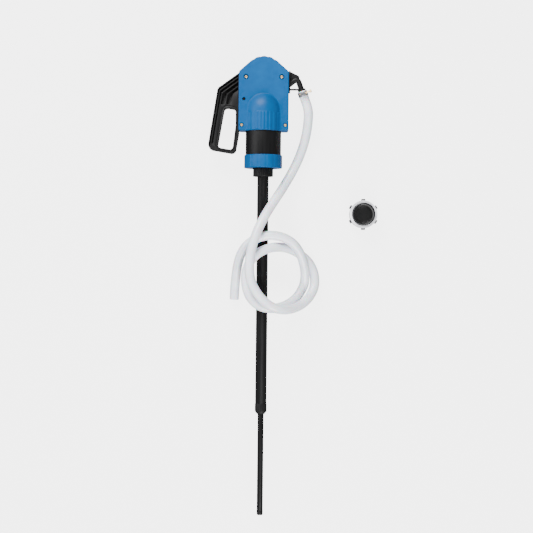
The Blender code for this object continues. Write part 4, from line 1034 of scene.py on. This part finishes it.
BARREL_BORE = 0.0425
NECK_RADIUS = 0.0225
PORT_RADIUS = 0.0125
SKIRT_INNER = 0.0386
GROOVE_RADIUS = 0.040
satin_black = Surface("satin_black", Roughness=0.42, Specular_IOR_Level=0.16)
drawn = satin_black.noise(26, 3, where=satin_black.stretched((6.0, 0.5, 6.0)))
satin_black.feed("Base Color", satin_black.ramp(
    drawn, (0.3, (0.0022, 0.0022, 0.0024)), (0.7, (0.0042, 0.0042, 0.0046))
))
satin_black.feed("Roughness", 0.36 + drawn * 0.16)
satin_black.bump(satin_black.noise(500, 2, where=satin_black.stretched((3.0, 0.4, 3.0))), 0.12,
                 0.0003)

piece("cylinder", soft_turned([
    (BARREL_BORE, -0.127, 0.0004), (BARREL_RADIUS, -0.127, 0.0006), (BARREL_RADIUS, 0.014, 0.0006),
    (BARREL_BORE, 0.014, 0.0004),
]), satin_black, "pump_body", ["cylinder"])
piece("base_plug", soft_turned([
    (PORT_RADIUS, -0.147, 0.0004), (NECK_RADIUS, -0.147, 0.0008), (NECK_RADIUS, -0.131, 0),
    (BARREL_RADIUS, -0.131, 0.0006), (BARREL_RADIUS, -0.1273, 0.0006), (PLUG_RADIUS, -0.1273, 0),
    (PLUG_RADIUS, -0.118, 0.0003), (GROOVE_RADIUS, -0.118, 0), (GROOVE_RADIUS, -0.1144, 0),
    (PLUG_RADIUS, -0.1144, 0.0003),
    (PLUG_RADIUS, -0.104, 0.0005), (SKIRT_INNER, -0.104, 0.0005), (SKIRT_INNER, -0.124, 0),
    (0.019, -0.124, 0),
    (0.019, -0.112, 0.0005), (PORT_RADIUS, -0.112, 0.0005),
]), satin_black, "pump_body", ["base_plug"])

# ---- Collar ring -----------------------------------------------------------------------
# The same blue plastic as the housing, pushed over the foot of the barrel. Fine grooves are
# moulded down its side for grip.

COLLAR_RADIUS = 0.0494
COLLAR_BORE = 0.0465
groove_maker = Maker("grooves_round_a_ring", {
    "Count": 15, "Depth": 0.0009, "From radius": 0.0478, "Turn": 0.0})
given = groove_maker.given
place_x = groove_maker.node("ShaderNodeSeparateXYZ", {}, {
    "Vector": groove_maker.node("GeometryNodeInputPosition")}, "X")
place_y = Wire(groove_maker, place_x.socket.node.outputs["Y"])
angle = groove_maker.math("ARCTAN2", place_y, place_x) + given["Turn"]
wave = groove_maker.math("ABSOLUTE", groove_maker.math("COSINE", angle * given["Count"] * 0.5))
line = groove_maker.math("POWER", 1.0 - wave, 3.0)
reach = groove_maker.math("SQRT", place_x * place_x + place_y * place_y)
outer = groove_maker.math("GREATER_THAN", reach, given["From radius"])
inwards = line * outer * given["Depth"] * -1.0 / reach
shift = groove_maker.node("ShaderNodeCombineXYZ", {}, {
    "X": place_x * inwards, "Y": place_y * inwards})
grooves = groove_maker.node("GeometryNodeSetPosition", {}, {
    "Geometry": given["Geometry"], "Offset": shift})
groove_maker.end(grooves, blue_moulding)

UNTURNED = Matrix.Identity(4)
collar_shape = soft_turned([
    (COLLAR_BORE, -0.0998, 0.0003), (0.0481, -0.0998, 0.0012), (COLLAR_RADIUS, -0.1014, 0.0008),
    (COLLAR_RADIUS, -0.1335, 0.0012), (0.030, -0.1335, 0.0004), (0.030, -0.1313, 0.0004),
    (COLLAR_BORE, -0.1313, 0),
], UNTURNED, 240)
collar_mesh = groove_maker.run(collar_shape, {"Count": 15, "Turn": 0.3526}, ALONG_Y)
piece("collar_ring", collar_mesh, blue_moulding, "pump_body", ["collar_ring"],
      40)

# ---- Union nut -------------------------------------------------------------------------
# Black nylon nut with fine ribs that draws the suction tube's flange up to the barrel.

bar_maker = Maker("bars_round_a_ring", {
    "Count": 24, "Ring radius": 0.02, "Sides": 12, "Width": 0.002, "Depth": 0.001,
    "Length": 0.01, "Height": 0.0, "Turn": 0.0})
given = bar_maker.given
circle = bar_maker.node("GeometryNodeMeshCircle", {}, {
    "Vertices": given["Count"], "Radius": given["Ring radius"]}, "Mesh")
one_bar = bar_maker.node("GeometryNodeMeshCylinder", {}, {
    "Vertices": given["Sides"], "Radius": 1.0, "Depth": given["Length"]}, "Mesh")
quarter = bar_maker.node("FunctionNodeAxisAngleToRotation", {}, {"Angle": given["Turn"]})
one_bar = bar_maker.node("GeometryNodeTransform", {}, {"Geometry": one_bar, "Rotation": quarter})
shape_scale = bar_maker.node("ShaderNodeCombineXYZ", {}, {
    "X": given["Depth"], "Y": given["Width"] * 0.5, "Z": 1.0})
one_bar = bar_maker.node("GeometryNodeTransform", {}, {"Geometry": one_bar, "Scale": shape_scale})
index = bar_maker.node("GeometryNodeInputIndex")
swing = bar_maker.node("FunctionNodeAxisAngleToRotation", {}, {
    "Angle": index * math.tau / given["Count"]})
bars = bar_maker.node("GeometryNodeInstanceOnPoints", {}, {
    "Points": circle, "Instance": one_bar, "Rotation": swing})
raise_bars = bar_maker.node("ShaderNodeCombineXYZ", {}, {"Z": given["Height"]})
bars = bar_maker.node("GeometryNodeTransform", {}, {"Geometry": bars, "Translation": raise_bars})
bar_maker.end(bar_maker.joined(given["Geometry"], bars), black_nylon)

UNION_RADIUS = 0.0254
UNION_BORE = 0.0229
UNION_TOP = -0.134
UNION_END = -0.1555
UNION_SEAT = -0.1529
TUBE_HOLE = 0.0152
union_shape = soft_turned([
    (UNION_BORE, UNION_TOP, 0.0003), (UNION_RADIUS, UNION_TOP, 0.0010),
    (UNION_RADIUS, UNION_END, 0.0010), (TUBE_HOLE, UNION_END, 0.0003),
    (TUBE_HOLE, UNION_SEAT, 0), (UNION_BORE, UNION_SEAT, 0),
], UNTURNED, 96)
union_mesh = bar_maker.run(union_shape, {
    "Count": 28, "Ring radius": 0.0252, "Sides": 10, "Width": 0.0030, "Depth": 0.00095,
    "Length": 0.0195, "Height": -0.1447}, ALONG_Y)
piece("union_nut", union_mesh, black_nylon, "union_nut_body", ["union_nut"], 40)

# ---- Suction tubes ---------------------------------------------------------------------
# Extruded black tube in two lengths: the thin one slides in the wide one and a ribbed nut
# over a rubber ring holds it where it is set. A slotted foot keeps the end open.

TUBE_RADIUS = 0.0148
TUBE_BORE = 0.0123
SPIGOT_RADIUS = 0.0136
THIN_RADIUS = 0.008
THIN_BORE = 0.006
FOOT_BORE = 0.004
piece("upper_tube", soft_turned([
    (TUBE_BORE, -0.1496, 0.0003), (0.0223, -0.1496, 0.0003), (0.0223, -0.1526, 0.0003),
    (TUBE_RADIUS, -0.1526, 0.0003), (TUBE_RADIUS, -0.7437, 0.0003), (SPIGOT_RADIUS, -0.7437, 0.0001),
    (SPIGOT_RADIUS, -0.762, 0.0003), (TUBE_BORE, -0.762, 0.0003),
], sides=64), satin_black, "pump_body", ["upper_tube"])
telescope_shape = soft_turned([
    (0.0139, -0.744, 0.0003), (0.0149, -0.744, 0.0005), (0.0149, -0.7655, 0.0015),
    (0.0095, -0.772, 0.0005), (0.0083, -0.772, 0.0002), (0.0083, -0.7663, 0.0002),
    (0.0139, -0.7663, 0),
], UNTURNED, 72)
telescope_mesh = bar_maker.run(telescope_shape, {
    "Count": 20, "Ring radius": 0.0147, "Sides": 10, "Width": 0.0026, "Depth": 0.0008,
    "Length": 0.0195, "Height": -0.7545}, ALONG_Y)
piece("telescope_nut", telescope_mesh, black_nylon, "telescope_nut_body", ["telescope_nut"],
      40)
piece("lower_tube", soft_turned([
    (THIN_BORE, -1.0217, 0.0002), (THIN_RADIUS, -1.0217, 0.0003), (THIN_RADIUS, -0.720, 0.0003),
    (THIN_BORE, -0.720, 0.0002),
], sides=48), satin_black, "lower_tube_body", ["lower_tube"])
foot_shape = soft_turned([
    (FOOT_BORE, -1.0117, 0.0002), (0.0057, -1.0117, 0.0003), (0.0057, -1.022, 0),
    (0.0083, -1.022, 0.0003), (0.0083, -1.0315, 0.0012), (0.0065, -1.0343, 0.0005),
    (FOOT_BORE, -1.0343, 0.0003),
], sides=48)
foot_steps = [
    ("DIFFERENCE", block((-0.012, -1.0353, -0.0015), (0.012, -1.0273, 0.0015))),
]
piece("foot_strainer", carved(foot_shape, foot_steps), black_nylon, "lower_tube_body",
      ["foot_strainer"])

# ---- Hose clamp ------------------------------------------------------------------------
# Worm-drive clamp: a thin bright steel band with cut thread slots, a folded housing on its
# front and a yellow-passivated screw that sticks out to the right.

CLAMP_BAND = (0.0123, 0.0131)
across = Vector((-SPOUT_DIRECTION.y, SPOUT_DIRECTION.x, 0))
clamp_middle = SPOUT_POINT + SPOUT_DIRECTION * 0.008
band_shape = soft_turned([
    (CLAMP_BAND[0], -0.006, 0.0002), (CLAMP_BAND[1] - 0.0001, -0.006, 0.0002),
    (CLAMP_BAND[1] - 0.0001, 0.006, 0.0002), (CLAMP_BAND[0], 0.006, 0.0002),
], UNTURNED, 72)
band_mesh = bar_maker.run(band_shape, {
    "Count": 48, "Ring radius": 0.01297, "Sides": 8, "Width": 0.0009, "Depth": 0.00012,
    "Length": 0.0075, "Height": 0.0}, along_axis(SPOUT_DIRECTION, clamp_middle))
piece("clamp_band", band_mesh, bright_steel, "pump_body", ["clamp_band"], 30)

clamp_frame = Matrix.Translation(clamp_middle) @ Matrix.Rotation(
    math.atan2(across.y, across.x), 4, "Z"
)
screw_height = CLAMP_BAND[1] + GAP + 0.0037
screw_place = along_axis(across, clamp_middle + Vector((0, 0, screw_height)))
hull = block((-0.009, -0.0048, CLAMP_BAND[1] + GAP), (0.005, 0.0048, screw_height + 0.0037),
             clamp_frame)
bore = turned([(0, -0.012), (0.0027, -0.012), (0.0027, 0.008), (0, 0.008)], screw_place, 32)
piece("clamp_housing", carved(hull, [("DIFFERENCE", bore)], 0.0009, 3), bright_steel,
      "pump_body", ["clamp_housing"], 40)

thread = [(0, -0.0105)]
for turn in range(14):
    start = -0.0105 + turn * 0.0015
    thread += [(0.0019, start), (0.0024, start + 0.0004), (0.0024, start + 0.0008),
               (0.0019, start + 0.0012)]
thread += [(0.0023, 0.0110), (0.0023, 0.018), (0.0037, 0.018), (0.0040, 0.0183)]
thread += [(0.0040, 0.0221), (0.0037, 0.0225), (0, 0.0225)]
slot_cut = block((0.0213, -0.0006, screw_height - 0.005), (0.0235, 0.0006, screw_height + 0.005),
                 clamp_frame)
clamp_screw = carved(turned(thread, screw_place, 24), [("DIFFERENCE", slot_cut)])
piece("clamp_screw", clamp_screw, yellow_steel, "clamp_screw_body", ["clamp_screw"])

# ---- Drum adapter ----------------------------------------------------------------------
# Loose adapter of glossy black nylon. Its wide end has six grip lugs, and the threaded end
# screws into a drum's bung on a soft white sealing ring.

ADAPTER = Vector((0.2636, -0.2496, 0))
SKIRT_RADIUS = 0.0359
SKIRT_HEIGHT = 0.026
THREAD_ROOT = 0.0288
ADAPTER_BORE = 0.0255
ADAPTER_HEIGHT = 0.052
SOCKET_RADIUS = 0.0285
SOCKET_DEPTH = 0.020
GASKET_INNER = 0.0301
GASKET_OUTER = 0.0364
GASKET_FOOT = 0.0263
GASKET_TOP = 0.0293
adapter_place = Matrix.Translation(ADAPTER)
gloss_black = Surface("gloss_black", Roughness=0.22, Specular_IOR_Level=0.35)
smear = gloss_black.noise(45, 4)
gloss_black.feed("Base Color", gloss_black.ramp(
    smear, (0.3, (0.003, 0.003, 0.004)), (0.7, (0.006, 0.006, 0.0075))
))
gloss_black.feed("Roughness", 0.18 + smear * 0.22)
gloss_black.bump(gloss_black.noise(600, 2), 0.1, 0.0003)

adapter_shape = soft_turned([
    (SOCKET_RADIUS, 0, 0.0005), (SKIRT_RADIUS, 0, 0.0012), (SKIRT_RADIUS, SKIRT_HEIGHT, 0.0012),
    (THREAD_ROOT, SKIRT_HEIGHT, 0), (THREAD_ROOT, 0.0505, 0.0005),
    (0.0283, ADAPTER_HEIGHT, 0.0006), (ADAPTER_BORE, ADAPTER_HEIGHT, 0.0012),
    (ADAPTER_BORE, SOCKET_DEPTH, 0.0004), (SOCKET_RADIUS, SOCKET_DEPTH, 0),
], UNTURNED, 128)
thread_maker = Maker("thread", {"Turns": 8.0, "Radius": THREAD_ROOT, "Rise": 0.0185, "Start": 0.0305,
                                "Crest": 0.001})
given = thread_maker.given
helix = thread_maker.node("GeometryNodeCurveSpiral", {}, {
    "Resolution": 64, "Rotations": given["Turns"], "Start Radius": given["Radius"],
    "End Radius": given["Radius"], "Height": given["Rise"]})
ridge = thread_maker.node("GeometryNodeCurvePrimitiveCircle", {"mode": "RADIUS"}, {
    "Resolution": 6, "Radius": given["Crest"]})
ridges = thread_maker.node("GeometryNodeCurveToMesh", {}, {
    "Curve": helix, "Profile Curve": ridge, "Fill Caps": True})
lift = thread_maker.node("ShaderNodeCombineXYZ", {}, {"Z": given["Start"]})
ridges = thread_maker.node("GeometryNodeTransform", {}, {"Geometry": ridges, "Translation": lift})
thread_maker.end(thread_maker.joined(given["Geometry"], ridges), gloss_black)
adapter_mesh = thread_maker.run(adapter_shape, {"Turns": 8.0})
lug_shape = bmesh.new()
lug_shape.from_mesh(adapter_mesh)
adapter_mesh = bar_maker.run(lug_shape, {
    "Count": 6, "Ring radius": 0.0372, "Sides": 4, "Width": 0.01315, "Depth": 0.00424,
    "Length": 0.0244, "Height": 0.0127, "Turn": math.pi / 4},
    adapter_place @ Matrix.Rotation(math.pi / 6, 4, "Z"))
piece("drum_adapter", adapter_mesh, gloss_black, "adapter_body", ["drum_adapter"],
      32)

white_seal = Surface("white_seal", Roughness=0.6)
speck = white_seal.noise(300, 3)
white_seal.feed("Base Color", white_seal.ramp(
    speck, (0.3, (0.76, 0.76, 0.80)), (0.7, (0.86, 0.86, 0.89))
))
white_seal.feed("Roughness", 0.5 + speck * 0.2)
white_seal.bump(speck, 0.15, 0.0003)
piece("adapter_gasket", soft_turned([
    (GASKET_INNER, GASKET_FOOT, 0.0005), (GASKET_OUTER, GASKET_FOOT, 0.0012),
    (GASKET_OUTER, GASKET_TOP, 0.0012),
    (GASKET_INNER, GASKET_TOP, 0.0005),
], adapter_place, 96), white_seal, "adapter_body", ["adapter_gasket"])

# ---- Inner works -----------------------------------------------------------------------
# What is hidden in the barrel and housing keeps its solid: steel rod, pins and bush, moulded
# acetal piston, eye, cage and glands, and rubber seals and valve flaps.

natural_acetal = Surface("natural_acetal", Roughness=0.4)
creamy = natural_acetal.noise(80, 3)
natural_acetal.feed("Base Color", natural_acetal.ramp(
    creamy, (0.3, (0.70, 0.68, 0.62)), (0.7, (0.80, 0.79, 0.74))
))
natural_acetal.feed("Roughness", 0.34 + creamy * 0.2)
natural_acetal.bump(natural_acetal.noise(900, 2), 0.1, 0.0002)

dull_rubber = Surface("dull_rubber", Roughness=0.8)
dust = dull_rubber.noise(400, 3)
dull_rubber.feed("Base Color", dull_rubber.ramp(
    dust, (0.3, (0.012, 0.012, 0.012)), (0.7, (0.028, 0.028, 0.028))
))
dull_rubber.feed("Roughness", 0.7 + dust * 0.2)
dull_rubber.bump(dust, 0.2, 0.0003)

INNER_FINISHES = {
    "steel": bright_steel,
    "acetal": natural_acetal,
    "rubber": dull_rubber,
}
slots_of = {part["node"]: part["material_slot"] for part in frame["record"]["subparts"]}
for node_name, cad_node in frame["nodes"].items():
    if cad_node.hide_render:
        continue
    surface = INNER_FINISHES[slots_of[node_name]]
    cad_node.data.materials.clear()
    cad_node.data.materials.append(surface.material)
